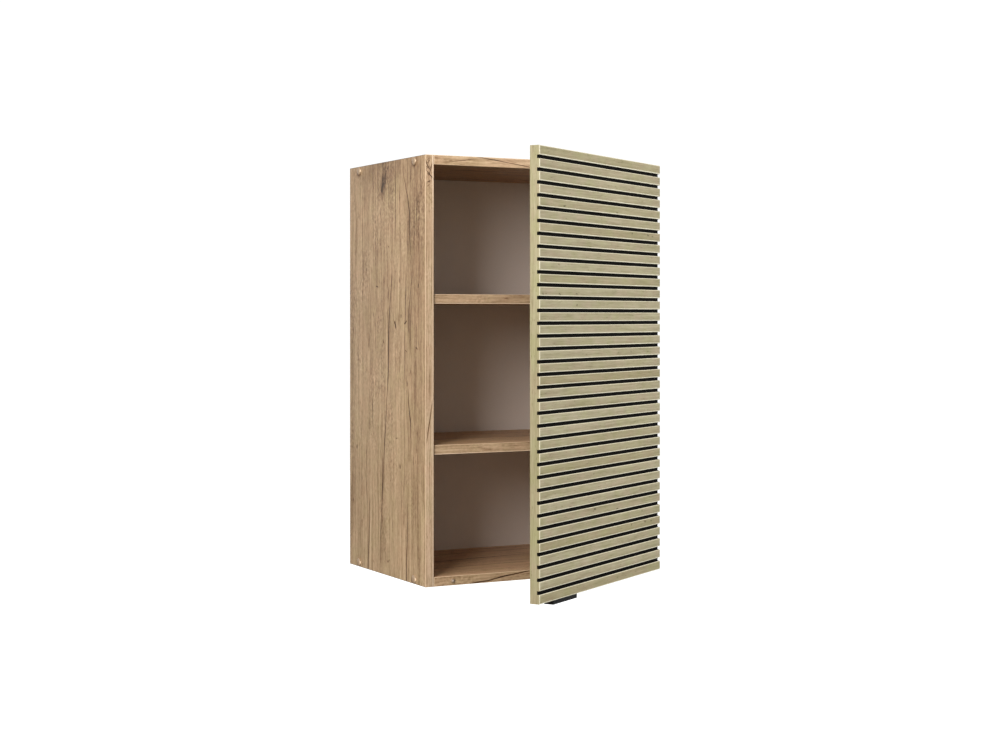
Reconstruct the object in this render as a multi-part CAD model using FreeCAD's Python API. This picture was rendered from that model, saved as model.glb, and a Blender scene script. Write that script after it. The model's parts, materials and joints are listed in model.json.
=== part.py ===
import FreeCAD, Part
import math
import os

# Hanging wall cabinet, one hinged door. Millimetres, +Z up.
# x = 0 is mid-width, y = 0 is the wall plane (rear edges of the carcass),
# the door faces -Y and z = 0 is the underside of the carcass.

V = FreeCAD.Vector
os.makedirs("parts", exist_ok=True)

# ---------------------------------------------------------------- dimensions
W = 450.0            # carcass width
H = 720.0            # carcass height
D = 325.0            # carcass depth
T = 16.0             # carcass board
BAND = 0.8           # edge band
HDF = 3.0            # back board
BACK_SET = 16.0      # back board's rear face in front of the wall plane
GROOVE_DEEP = 8.0    # depth of the groove that holds the back board

SHELF_Z = (219.7, 471.8)   # undersides of the two shelves
SHELF_SET = 4.0            # shelf front edge behind the carcass front edge
SHELF_GAP = 0.8            # shelf end to side board
PIN_R, PIN_OUT, PIN_IN = 2.5, 7.0, 8.0

DOOR_W, DOOR_H, DOOR_T = 446.0, 716.0, 17.0
DOOR_GAP = 3.0             # closed door to carcass front
DOOR_INSET = 2.0           # door edge inside the carcass outline
SLOT_PITCH, SLOT_W, SLOT_D, SLOT_FIRST = 20.0, 5.5, 4.5, 18.0
OPEN_REST = 32.7           # stored opening angle

HINGE_Z = (102.0, 618.0)   # cup centres
CUP_R, CUP_DEEP = 17.5, 11.6
CUP_U = 20.5               # cup centre from the door's hinge edge
AXIS_U, AXIS_D = 7.0, 8.0  # hinge axis from the door's edge and back face
PLATE_Y = 37.0             # plate screws behind the front edge

XR = W / 2.0               # outer face of the right side board
YF = -D                    # front edges of the carcass
XH = XR - DOOR_INSET       # door's hinge edge when closed
YB = YF - DOOR_GAP         # door's back face when closed
PX, PY = XH - AXIS_U, YB - AXIS_D
ZD = (H - DOOR_H) / 2.0    # door's bottom edge


# ------------------------------------------------------------------- helpers
def box(x0, x1, y0, y1, z0, z1):
    return Part.makeBox(x1 - x0, y1 - y0, z1 - z0, V(x0, y0, z0))


def cyl(r, base, direction, length):
    return Part.makeCylinder(r, length, V(*base), V(*direction))


def cone(r0, r1, base, direction, length):
    return Part.makeCone(r0, r1, length, V(*base), V(*direction))


def fuse(shapes):
    out = shapes[0]
    if len(shapes) > 1:
        out = out.fuse(shapes[1:])
    return out.removeSplitter()


def cut(shape, tools):
    if tools:
        shape = shape.cut(tools)
    return shape


def prism_xy(points, z0, z1):
    wire = Part.makePolygon([V(p[0], p[1], z0) for p in points] + [V(points[0][0], points[0][1], z0)])
    return Part.Face(wire).extrude(V(0, 0, z1 - z0))


def prism_yz(points, x0, x1):
    wire = Part.makePolygon([V(x0, p[0], p[1]) for p in points] + [V(x0, points[0][0], points[0][1])])
    return Part.Face(wire).extrude(V(x1 - x0, 0, 0))


def hexagon(af, base, direction, length):
    # hexagonal prism along x, across-flats af
    r = af / math.sqrt(3.0)
    pts = [V(base[0], base[1] + r * math.cos(math.radians(60 * i)), base[2] + r * math.sin(math.radians(60 * i)))
           for i in range(7)]
    return Part.Face(Part.makePolygon(pts)).extrude(V(direction * length, 0, 0))


def at_x(e, x, tol=0.01):
    return all(abs(v.Point.x - x) < tol for v in e.Vertexes)


def at_y(e, y, tol=0.01):
    return all(abs(v.Point.y - y) < tol for v in e.Vertexes)


nodes = {}
door_nodes = []


def put(name, shapes, door=False):
    solids = []
    for s in (shapes if isinstance(shapes, list) else [shapes]):
        solids += s.Solids
    nodes[name] = Part.makeCompound(solids) if len(solids) > 1 else solids[0]
    if door:
        door_nodes.append(name)


# ------------------------------------------------- carcass joint screws, caps
SCREW_Y = (YF + 44.0, -44.0)
joint_points = [(sx, y, z) for sx in (-1, 1) for y in SCREW_Y for z in (T / 2, H - T / 2)]
screws, screw_holes, caps = [], [], []
for sx, y, z in joint_points:
    x0 = sx * XR
    d = (-sx, 0, 0)
    head = cyl(5.0, (x0, y, z), d, 1.0)
    neck = cone(5.0, 3.5, (x0 - sx * 1.0, y, z), d, 2.4)
    shank = cyl(3.5, (x0 - sx * 3.4, y, z), d, 9.6)
    core = cyl(2.4, (x0 - sx * 13.0, y, z), d, 35.0)
    threads = [cone(3.4, 2.4, (x0 - sx * (14.0 + 3.0 * i), y, z), d, 1.6) for i in range(11)]
    tip = cone(2.4, 1.0, (x0 - sx * 48.0, y, z), d, 2.0)
    body = fuse([head, neck, shank, core, tip] + threads)
    hole = body.copy()
    socket = hexagon(4.0, (x0, y, z), -sx, 3.0)
    body = body.cut(socket)
    screws.append(body)
    screw_holes.append(hole)
    # cap: low dome with a hexagonal peg in the screw's socket
    dome_r, rim_h, dome_h = 6.9, 0.9, 2.0
    sphere_r = (dome_r ** 2 + (dome_h - rim_h) ** 2) / (2 * (dome_h - rim_h))

    def on_dome(r, top=dome_h, big=sphere_r):
        return V(r, 0, top - big + math.sqrt(big ** 2 - r ** 2))

    arcs = [Part.Arc(on_dome(dome_r * i / 4), on_dome(dome_r * (i + 0.5) / 4), on_dome(dome_r * (i + 1) / 4)).toShape()
            for i in range(4)]
    profile = Part.Wire(arcs + [Part.makeLine(on_dome(dome_r), V(dome_r, 0, 0)),
                                Part.makeLine(V(dome_r, 0, 0), V(0, 0, 0)), Part.makeLine(V(0, 0, 0), on_dome(0))])
    cap = Part.Face(profile).revolve(V(0, 0, 0), V(0, 0, 1), 360)
    cap.rotate(V(0, 0, 0), V(0, 1, 0), sx * 90)
    cap.translate(V(x0, y, z))
    peg = hexagon(3.9, (x0, y, z), -sx, 2.5)
    caps.append(fuse([cap, peg]))
put("carcass_screws", screws)
put("screw_cover_caps", caps)

# ------------------------------------------------------------- wooden dowels
dowels = []
for sx in (-1, 1):
    for y in (-230.0, -104.0):
        for z in (T / 2, H - T / 2):
            xin = sx * (XR - T)
            body = cyl(4.0, (xin + sx * 10.0, y, z), (-sx, 0, 0), 30.0)
            body = body.makeChamfer(0.8, [e for e in body.Edges if len(e.Vertexes) == 1])
            dowels.append(body)
put("wooden_dowels", dowels)

# ----------------------------------------------------------------- back board
back_y0, back_y1 = -BACK_SET - HDF, -BACK_SET
back = box(-XR + T - GROOVE_DEEP + 0.5, XR - T + GROOVE_DEEP - 0.5, back_y0, back_y1,
           T - GROOVE_DEEP + 0.5, H - T + GROOVE_DEEP - 0.5)
HOOK_X = XR - T - 12.0
hook_windows = [box(sx * HOOK_X - 7.0, sx * HOOK_X + 7.0, back_y0 - 1, back_y1 + 1, 638.0, 690.0) for sx in (-1, 1)]
back = cut(back, hook_windows)
put("back_panel", back)
back_groove = box(-XR + T - GROOVE_DEEP, XR - T + GROOVE_DEEP, back_y0, back_y1,
                  T - GROOVE_DEEP, H - T + GROOVE_DEEP)

# --------------------------------------------------------------- shelf pins
pin_points = []
for z in SHELF_Z:
    for y in (YF + 50.0, -56.0):
        pin_points.append((y, z - PIN_R))
pins, pin_holes = [], []
for sx in (-1, 1):
    for y, z in pin_points:
        xin = sx * (XR - T)
        stem = cyl(PIN_R, (xin + sx * PIN_IN, y, z), (-sx, 0, 0), PIN_IN + PIN_OUT)
        collar = cyl(3.8, (xin, y, z - 1.6), (-sx, 0, 0), 0.7)
        stem = stem.makeChamfer(0.5, [e for e in stem.Edges if len(e.Vertexes) == 1])
        pins.append(fuse([stem, collar]))
        pin_holes.append(cyl(PIN_R, (xin + sx * PIN_IN, y, z), (-sx, 0, 0), PIN_IN))
put("shelf_pins", pins)

# ----------------------------------------------------------------- hangers
# Corner hanger: plastic housing on the side board, steel hook through the
# back board, height screw in front. The hook reaches into the recess behind
# the back board and stays in front of the wall plane.
peg_holes = []
HZ0, HZ1 = 634.0, 694.0
HY0, HY1 = -78.0, back_y0
for sx, side in ((-1, "left"), (1, "right")):
    xi = sx * (XR - T)

    def hbox(a, b, y0, y1, z0, z1):
        # a, b: distance inwards from the side board's inner face
        xa, xb = xi - sx * a, xi - sx * b
        return box(min(xa, xb), max(xa, xb), y0, y1, z0, z1)

    shell = hbox(0, 24.0, HY0, HY1, HZ0, HZ1)
    shell = shell.makeFillet(3.0, [e for e in shell.Edges if abs(e.Vertexes[0].Point.x - (xi - sx * 24.0)) < 0.01
                                   and abs(e.Vertexes[-1].Point.x - (xi - sx * 24.0)) < 0.01
                                   and not at_y(e, HY1)])
    room = hbox(3.0, 21.0, HY0 + 4.0, HY1 + 1, HZ0 + 4.0, HZ1 - 4.0)
    front_slot = cyl(4.1, (xi - sx * 12.0, HY0 - 1, 676.0), (0, 1, 0), 6.0)
    front_slot2 = cyl(3.3, (xi - sx * 12.0, HY0 - 1, 650.0), (0, 1, 0), 6.0)
    pegs = [cyl(5.0, (xi, y, z), (sx, 0, 0), 10.0) for y, z in ((-64.0, 664.0), (-32.0, 664.0))]
    pegs = [p.makeChamfer(0.8, [e for e in p.Edges if at_x(e, xi + sx * 10.0)]) for p in pegs]
    housing = fuse([shell.cut([room, front_slot, front_slot2])] + pegs)
    peg_holes += [cyl(5.0, (xi, y, z), (sx, 0, 0), 10.2) for y, z in ((-64.0, 664.0), (-32.0, 664.0))]
    put("hanger_housing_" + side, housing)
    # hook: plate 3 mm thick in the yz plane
    hx = xi - sx * 12.0
    prof = [(-66.0, 668.0), (-66.0, 684.0), (-24.0, 684.0), (-2.0, 678.0), (-2.0, 650.0), (-5.5, 648.0),
            (-5.5, 668.0)]
    hook = prism_yz(prof, hx - 1.5, hx + 1.5)
    block = box(hx - 5.0, hx + 5.0, -66.0, -56.0, 668.5, 683.5)
    hook = fuse([hook, block])
    # depth screw: threads through the block, head outside the housing
    screw_shank = cyl(2.0, (hx, -79.5, 676.0), (0, 1, 0), 28.0)
    screw_head = cyl(3.9, (hx, -81.5, 676.0), (0, 1, 0), 5.0)
    cross = fuse([box(hx - 2.6, hx + 2.6, -82.5, -79.5, 675.5, 676.5), box(hx - 0.5, hx + 0.5, -82.5, -79.5, 673.4, 678.6)])
    depth_screw = fuse([screw_head, screw_shank]).cut(cross)
    hook = hook.cut(cyl(2.0, (hx, -70.0, 676.0), (0, 1, 0), 18.5))
    put("hanger_hook_" + side, hook)
    put("hanger_depth_screw_" + side, depth_screw)
    # height screw with its eccentric shoe inside the housing
    hs_head = cyl(3.3, (hx, -79.0, 650.0), (0, 1, 0), 5.0)
    hs_shank = cyl(2.4, (hx, -74.0, 650.0), (0, 1, 0), 40.0)
    hs_cross = fuse([box(hx - 2.2, hx + 2.2, -80, -77.4, 649.5, 650.5), box(hx - 0.5, hx + 0.5, -80, -77.4, 647.8, 652.2)])
    shoe = box(hx - 6.0, hx + 6.0, -60.0, -40.0, 642.0, 667.95)
    put("hanger_height_screw_" + side, fuse([hs_head, hs_shank, shoe]).cut(hs_cross))

# ------------------------------------------------------------ hinge hardware
plate_screw_holes = []
cup_bores = []
cup_screw_holes = []


def door_y(d):
    return YB - d


for z0, tag in ((HINGE_Z[0], "lower"), (HINGE_Z[1], "upper")):
    xs = XR - T                     # side board's inner face
    ys = YF + PLATE_Y
    # mounting plate: wings with two screws, ridge under the arm
    wings = box(xs - 2.5, xs, ys - 9.0, ys + 9.0, z0 - 25.0, z0 + 25.0)
    wings = wings.makeFillet(8.0, [e for e in wings.Edges if abs(e.Vertexes[0].Point.y - e.Vertexes[-1].Point.y) < 0.01
                                   and abs(e.Vertexes[0].Point.z - e.Vertexes[-1].Point.z) < 0.01])
    ridge = box(xs - 10.4, xs, YF + 20.0, YF + 58.0, z0 - 4.8, z0 + 4.8)
    foot = box(xs - 4.0, xs, YF + 18.0, YF + 60.0, z0 - 8.5, z0 + 8.5)
    plate = fuse([wings, ridge, foot])
    pscrews = []
    for dz in (-16.0, 16.0):
        hd = cone(5.0, 3.1, (xs - 2.5, ys, z0 + dz), (1, 0, 0), 2.0)
        sh = cyl(3.1, (xs - 0.5, ys, z0 + dz), (1, 0, 0), 11.0)
        s = fuse([hd, sh])
        plate_screw_holes.append(s.copy())
        plate = plate.cut(s)
        dr = fuse([box(xs - 3.0, xs - 1.0, ys - 2.8, ys + 2.8, z0 + dz - 0.5, z0 + dz + 0.5),
                   box(xs - 3.0, xs - 1.0, ys - 0.5, ys + 0.5, z0 + dz - 2.8, z0 + dz + 2.8)])
        pscrews.append(s.cut(dr))
    put("hinge_%s_plate_screws" % tag, pscrews)
    # arm: channel over the ridge, goose neck into the cup, knuckle on the pin
    web = box(xs - 13.2, xs - 11.7, YF + 12.0, YF + 62.0, z0 - 6.6, z0 + 6.6)
    cheeks = [box(xs - 13.2, xs - 4.2, YF + 12.0, YF + 62.0, z0 + s * 5.85 - 0.75, z0 + s * 5.85 + 0.75) for s in (-1, 1)]
    channel = fuse([web] + cheeks)
    # goose neck in plan, offsets from the hinge axis
    neck_pts = [(0.0, -2.2), (-11.6, -2.2), (-12.8, -1.0), (-12.8, 11.5), (-20.2, 20.5), (-20.2, 24.0),
                (-18.7, 24.0), (-18.7, 21.0), (-10.4, 12.4), (-10.4, 0.9), (-9.9, 0.2), (0.0, 0.2)]
    neck = prism_xy([(PX + a, PY + b) for a, b in neck_pts], z0 - 5.5, z0 + 5.5)
    knuckle = cyl(2.2, (PX, PY, z0 - 5.5), (0, 0, 1), 11.0)
    arm = fuse([channel, neck, knuckle])
    arm = arm.cut(cyl(1.3, (PX, PY, z0 - 7.0), (0, 0, 1), 14.0))
    # arm screws
    fix = fuse([cyl(3.4, (xs - 14.6, YF + 50.0, z0), (1, 0, 0), 1.4), cyl(1.9, (xs - 13.2, YF + 50.0, z0), (1, 0, 0), 7.0)])
    adj = fuse([cyl(3.0, (xs - 14.0, YF + 30.0, z0), (1, 0, 0), 0.8), cyl(1.9, (xs - 13.2, YF + 30.0, z0), (1, 0, 0), 5.0)])
    tool = [s.copy() for s in (fix, adj)]
    arm = cut(arm, tool)
    plate = cut(plate, tool)
    dr1 = fuse([box(xs - 15.0, xs - 13.4, YF + 48.0, YF + 52.0, z0 - 0.5, z0 + 0.5),
                box(xs - 15.0, xs - 13.4, YF + 49.5, YF + 50.5, z0 - 2.0, z0 + 2.0)])
    dr2 = fuse([box(xs - 15.0, xs - 13.4, YF + 28.2, YF + 31.8, z0 - 0.4, z0 + 0.4),
                box(xs - 15.0, xs - 13.4, YF + 29.6, YF + 30.4, z0 - 1.8, z0 + 1.8)])
    put("hinge_%s_plate" % tag, plate)
    put("hinge_%s_arm" % tag, arm)
    put("hinge_%s_arm_screws" % tag, [fix.cut(dr1), adj.cut(dr2)])

    # cup, closed position; u from the door's hinge edge, d into the door
    cx = XH - CUP_U
    shell = cyl(CUP_R, (cx, YB, z0), (0, -1, 0), CUP_DEEP)
    fl = [cyl(19.0, (cx, YB, z0), (0, 1, 0), 1.2)]
    hull_pts = [(XH - 30.0 + 6.0, z0 - 28.0), (XH - 30.0 - 6.0, z0 - 28.0)]
    for s in (-1, 1):
        fl.append(cyl(6.5, (XH - 30.0, YB, z0 + s * 22.5), (0, 1, 0), 1.2))
        a = Part.makePolygon([V(XH - 23.5, YB, z0 + s * 22.5), V(XH - 36.5, YB, z0 + s * 22.5),
                              V(XH - 39.0, YB, z0), V(XH - 10.0, YB, z0 + s * 14.0), V(XH - 23.5, YB, z0 + s * 22.5)])
        fl.append(Part.Face(a).extrude(V(0, 1.2, 0)))
    flange = fuse(fl)
    flange = flange.cut(box(XH - 3.6, XH + 5.0, YB - 1, YB + 5, z0 - 40, z0 + 40))
    cup = fuse([shell, flange])
    bowl = cyl(CUP_R - 0.6, (cx, YB + 2.0, z0), (0, -1, 0), 2.0 + CUP_DEEP - 0.7)
    lugs = [box(XH - 13.0, XH, YB - CUP_DEEP, YB + 1.2, z0 + (5.8 if s > 0 else -20.0), z0 + (20.0 if s > 0 else -5.8))
            for s in (-1, 1)]
    bowl = bowl.cut(lugs)
    cup = cup.cut(bowl)
    pin = cyl(1.25, (PX, PY, z0 - 9.1), (0, 0, 1), 18.2)
    cup = cup.cut(pin)
    cscrews = []
    for s in (-1, 1):
        hd = cone(3.6, 1.75, (XH - 30.0, YB + 1.2, z0 + s * 22.5), (0, -1, 0), 1.85)
        sh = cyl(1.75, (XH - 30.0, YB - 0.65, z0 + s * 22.5), (0, -1, 0), 10.0)
        sc = fuse([hd, sh])
        cup_screw_holes.append(sc.copy())
        cup = cup.cut(sc)
        dr = fuse([box(XH - 32.0, XH - 28.0, YB + 0.2, YB + 2, z0 + s * 22.5 - 0.4, z0 + s * 22.5 + 0.4),
                   box(XH - 30.4, XH - 29.6, YB + 0.2, YB + 2, z0 + s * 22.5 - 2.0, z0 + s * 22.5 + 2.0)])
        cscrews.append(sc.cut(dr))
    put("hinge_%s_cup" % tag, cup, door=True)
    put("hinge_%s_pin" % tag, pin, door=True)
    put("hinge_%s_cup_screws" % tag, cscrews, door=True)
    cup_bores.append(cyl(CUP_R + 0.05, (cx, YB + 1, z0), (0, -1, 0), 1 + CUP_DEEP + 0.2))

# ------------------------------------------------------------- carcass boards
cuts_side = screw_holes + dowels + pin_holes + peg_holes + plate_screw_holes + [back_groove]
for sx, name in ((-1, "side_panel_left"), (1, "side_panel_right")):
    x0, x1 = (-XR, -XR + T) if sx < 0 else (XR - T, XR)
    put(name, cut(box(x0, x1, YF + BAND, 0, 0, H), cuts_side))
put("top_panel", cut(box(-XR + T, XR - T, YF + BAND, 0, H - T, H), screw_holes + dowels + [back_groove]))
put("bottom_panel", cut(box(-XR + T, XR - T, YF + BAND, 0, 0, T), screw_holes + dowels + [back_groove]))

# edge bands of the carcass: full height on the sides, between them on top
# and bottom, front arrises eased
bands = [box(-XR, -XR + T, YF, YF + BAND, 0, H), box(XR - T, XR, YF, YF + BAND, 0, H),
         box(-XR + T, XR - T, YF, YF + BAND, H - T, H), box(-XR + T, XR - T, YF, YF + BAND, 0, T)]
bands = [b.makeFillet(0.5, [e for e in b.Edges if at_y(e, YF)]) for b in bands]
put("carcass_edge_bands", bands)

# --------------------------------------------------------------------- shelves
shelf_bands = []
for z, name in ((SHELF_Z[0], "shelf_lower"), (SHELF_Z[1], "shelf_upper")):
    x0, x1 = -XR + T + SHELF_GAP, XR - T - SHELF_GAP
    yf = YF + SHELF_SET
    board = box(x0, x1, yf + BAND, back_y0 - 8.0, z, z + T)
    put(name, board)
    b = box(x0, x1, yf, yf + BAND, z, z + T)
    shelf_bands.append(b.makeFillet(0.5, [e for e in b.Edges if at_y(e, yf)]))
put("shelf_edge_bands", shelf_bands)

# bumper: clear soft dot on the bottom board's front edge
bump = cyl(4.0, (-XR + 50.0, YF, T / 2 + 0.2), (0, -1, 0), 2.8)
bump = bump.makeFillet(1.6, [e for e in bump.Edges if at_y(e, YF - 2.8)])
put("door_bumper", bump)

# ------------------------------------------------------------------------ door
door = box(XH - DOOR_W, XH, YB - DOOR_T, YB, ZD, ZD + DOOR_H)
slots = []
n_slots = int(round((DOOR_H - 2 * SLOT_FIRST) / SLOT_PITCH)) + 1
for i in range(n_slots):
    zc = ZD + SLOT_FIRST + SLOT_PITCH * i
    slots.append(box(XH - DOOR_W - 1, XH + 1, YB - DOOR_T - 1, YB - DOOR_T + SLOT_D, zc - SLOT_W / 2, zc + SLOT_W / 2))
door = cut(door, slots)

# edge pull: C-section bar under the door's bottom edge, near the free edge,
# open to the rear, screwed up into the edge through access holes
XF = XH - DOOR_W                    # free edge
HX0, HX1 = XF + 46.5, XF + 127.0
PULL_DROP, PULL_T = 6.6, 1.6
YFRONT = YB - DOOR_T + 0.4
handle_prof = [(YB, ZD), (YB, ZD - PULL_T), (YFRONT + 2.0, ZD - PULL_T), (YFRONT + 2.0, ZD - PULL_DROP + PULL_T),
               (YB, ZD - PULL_DROP + PULL_T), (YB, ZD - PULL_DROP), (YFRONT, ZD - PULL_DROP), (YFRONT, ZD)]
handle = prism_yz(handle_prof, HX0, HX1)
handle_screws, handle_holes, access = [], [], []
YS = YB - DOOR_T / 2
for x in (HX0 + 14.0, HX1 - 14.0):
    hd = cone(2.9, 1.6, (x, YS, ZD - PULL_T), (0, 0, 1), 1.3)
    sh = cyl(1.6, (x, YS, ZD - PULL_T + 1.3), (0, 0, 1), 12.8)
    sc = fuse([hd, sh])
    handle_holes.append(sc.copy())
    dr = fuse([box(x - 1.7, x + 1.7, YS - 0.4, YS + 0.4, ZD - 2.0, ZD - 0.9),
               box(x - 0.4, x + 0.4, YS - 1.7, YS + 1.7, ZD - 2.0, ZD - 0.9)])
    handle_screws.append(sc.cut(dr))
    access.append(cyl(3.4, (x, YS, ZD - PULL_DROP - 1), (0, 0, 1), 3.5))
handle = cut(handle, handle_holes + access)
put("handle", handle, door=True)
put("handle_screws", handle_screws, door=True)
door = cut(door, cup_bores + cup_screw_holes + handle_holes)
put("door_panel", door, door=True)

# ---------------------------------------------------------------------- export
for name, shape in nodes.items():
    s = shape.copy()
    if name in door_nodes:
        s.rotate(V(PX, PY, 0), V(0, 0, 1), OPEN_REST)
    if not s.isValid():
        print("INVALID", name)
    s.exportStep("parts/%s.step" % name)
print(len(nodes), "nodes")
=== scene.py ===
import bpy
import bmesh
import json
import math
import random
from mathutils import Matrix, Vector


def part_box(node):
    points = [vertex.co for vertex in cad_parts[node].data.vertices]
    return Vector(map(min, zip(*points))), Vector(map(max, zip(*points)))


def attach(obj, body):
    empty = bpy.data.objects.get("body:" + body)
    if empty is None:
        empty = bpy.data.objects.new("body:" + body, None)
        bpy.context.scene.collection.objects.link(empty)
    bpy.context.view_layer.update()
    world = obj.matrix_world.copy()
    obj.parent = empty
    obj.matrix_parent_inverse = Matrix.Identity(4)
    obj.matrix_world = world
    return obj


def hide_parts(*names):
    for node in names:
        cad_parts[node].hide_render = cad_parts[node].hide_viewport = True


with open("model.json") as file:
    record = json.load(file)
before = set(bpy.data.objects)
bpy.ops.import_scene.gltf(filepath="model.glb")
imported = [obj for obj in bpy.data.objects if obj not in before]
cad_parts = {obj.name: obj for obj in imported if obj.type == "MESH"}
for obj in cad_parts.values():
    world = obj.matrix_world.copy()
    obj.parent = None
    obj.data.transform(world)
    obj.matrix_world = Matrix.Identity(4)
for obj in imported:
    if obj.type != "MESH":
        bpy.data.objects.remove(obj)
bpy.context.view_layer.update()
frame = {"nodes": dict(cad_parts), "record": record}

# ------------------------------------------------------------------ camera
cam_data = bpy.data.cameras.new("camera")
cam_data.sensor_width = 36.0
cam_data.lens = 1780.29 * 36.0 / 1000.0
cam_data.shift_x = (500.0 - 532.80) / 1000.0
cam_data.shift_y = (315.48 - 375.0) / 1000.0
cam_data.clip_start = 0.05
cam_data.clip_end = 60.0
cam = bpy.data.objects.new("camera", cam_data)
bpy.context.scene.collection.objects.link(cam)
YAW = math.radians(28.44)
cam.location = (-1.47681, -3.01117, 0.45218)
cam.rotation_euler = (math.pi / 2, 0.0, -YAW)
bpy.context.scene.camera = cam
bpy.context.scene.view_settings.view_transform = "Standard"
bpy.context.scene.view_settings.look = "None"

# ------------------------------------------------------------------ colours
def lin(r, g, b):
    """sRGB 0-255 to linear."""
    out = []
    for c in (r, g, b):
        c = c / 255.0
        out.append(c / 12.92 if c <= 0.04045 else ((c + 0.055) / 1.055) ** 2.4)
    return (out[0], out[1], out[2], 1.0)


# ------------------------------------------------------- grooves of the door
SLOT = 0.00275        # half width of a groove
DEEP = 0.0045
PITCH = 0.020
FIRST = 0.018


# ------------------------------------------------------------ node helpers
class Tree:
    def __init__(self, name):
        self.mat = bpy.data.materials.new(name)
        self.mat.use_nodes = True
        self.t = self.mat.node_tree
        for n in list(self.t.nodes):
            self.t.nodes.remove(n)
        self.out = self.t.nodes.new("ShaderNodeOutputMaterial")
        self.bsdf = self.t.nodes.new("ShaderNodeBsdfPrincipled")
        self.t.links.new(self.bsdf.outputs[0], self.out.inputs[0])

    def new(self, kind, **props):
        n = self.t.nodes.new(kind)
        for k, v in props.items():
            setattr(n, k, v)
        return n

    def link(self, a, b):
        self.t.links.new(a, b)

    def put(self, sock, value):
        if hasattr(value, "is_output"):
            self.t.links.new(value, sock)
        elif value is not None:
            sock.default_value = value

    def coord(self):
        return self.new("ShaderNodeTexCoord").outputs["Object"]

    def sep(self, v):
        n = self.new("ShaderNodeSeparateXYZ")
        self.put(n.inputs[0], v)
        return n.outputs[0], n.outputs[1], n.outputs[2]

    def comb(self, x, y, z):
        n = self.new("ShaderNodeCombineXYZ")
        for i, s in enumerate((x, y, z)):
            self.put(n.inputs[i], s)
        return n.outputs[0]

    def math(self, op, a, b=None, c=None, clamp=False):
        n = self.new("ShaderNodeMath", operation=op, use_clamp=clamp)
        self.put(n.inputs[0], a)
        if b is not None:
            self.put(n.inputs[1], b)
        if c is not None:
            self.put(n.inputs[2], c)
        return n.outputs[0]

    def vmath(self, op, a, b=None):
        n = self.new("ShaderNodeVectorMath", operation=op)
        self.put(n.inputs[0], a)
        if b is not None:
            self.put(n.inputs[1], b)
        return n.outputs[0]

    def noise(self, v, scale=1.0, detail=2.0, rough=0.5, distort=0.0):
        n = self.new("ShaderNodeTexNoise")
        self.put(n.inputs["Vector"], v)
        n.inputs["Scale"].default_value = scale
        n.inputs["Detail"].default_value = detail
        n.inputs["Roughness"].default_value = rough
        n.inputs["Distortion"].default_value = distort
        return n.outputs["Fac"]

    def ramp(self, fac, stops, interp="LINEAR"):
        n = self.new("ShaderNodeValToRGB")
        n.color_ramp.interpolation = interp
        el = n.color_ramp.elements
        while len(el) > 2:
            el.remove(el[-1])
        for i, (p, c) in enumerate(stops):
            if i < 2:
                e = el[i]
                e.position = p
            else:
                e = el.new(p)
            e.color = c if len(c) == 4 else (c[0], c[1], c[2], 1.0)
        self.put(n.inputs[0], fac)
        return n.outputs[0]

    def grey(self, fac, lo, hi, a=0.0, b=1.0):
        """fac from lo..hi to a..b, clamped."""
        n = self.new("ShaderNodeMapRange")
        n.clamp = True
        self.put(n.inputs[0], fac)
        n.inputs[1].default_value = lo
        n.inputs[2].default_value = hi
        n.inputs[3].default_value = a
        n.inputs[4].default_value = b
        return n.outputs[0]

    def mix(self, fac, a, b, mode="MIX"):
        n = self.new("ShaderNodeMix", data_type="RGBA", blend_type=mode)
        self.put(n.inputs[0], fac)
        self.put(n.inputs[6], a)
        self.put(n.inputs[7], b)
        return n.outputs[2]

    def bump(self, height, strength=0.3, distance=0.001, normal=None):
        n = self.new("ShaderNodeBump")
        n.inputs["Strength"].default_value = strength
        n.inputs["Distance"].default_value = distance
        self.put(n.inputs["Height"], height)
        if normal is not None:
            self.put(n.inputs["Normal"], normal)
        return n.outputs[0]


# --------------------------------------------------------------- oak decor
WOOD = [(0.00, lin(54, 36, 20)), (0.14, lin(88, 62, 38)), (0.30, lin(134, 102, 71)), (0.44, lin(165, 134, 99)),
        (0.55, lin(182, 151, 115)), (0.68, lin(199, 168, 130)), (0.84, lin(217, 187, 148)), (1.00, lin(232, 205, 166))]


def streak_marks(T, p, plane, items, acc=None):
    """Sum of long tapered spots. items: (a, b, half length, half width, angle,
    weight) on the face whose two axes are plane = (a axis, b axis)."""
    a_ax, b_ax = plane
    q = None
    x, y, z = T.sep(p)
    ax = [x, y, z]
    q = T.comb(ax[a_ax], ax[b_ax], 0.0)
    for a, b, half_l, half_w, ang, wt in items:
        m = T.new("ShaderNodeMapping", vector_type="TEXTURE")
        T.put(m.inputs["Vector"], q)
        m.inputs["Location"].default_value = (a, b, 0.0)
        m.inputs["Rotation"].default_value = (0.0, 0.0, math.radians(ang))
        m.inputs["Scale"].default_value = (half_l, half_w, 1.0)
        g = T.new("ShaderNodeTexGradient", gradient_type="SPHERICAL")
        T.put(g.inputs["Vector"], m.outputs[0])
        acc = T.math("MULTIPLY_ADD", g.outputs["Fac"], wt, acc if acc is not None else 0.0)
    return acc


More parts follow.
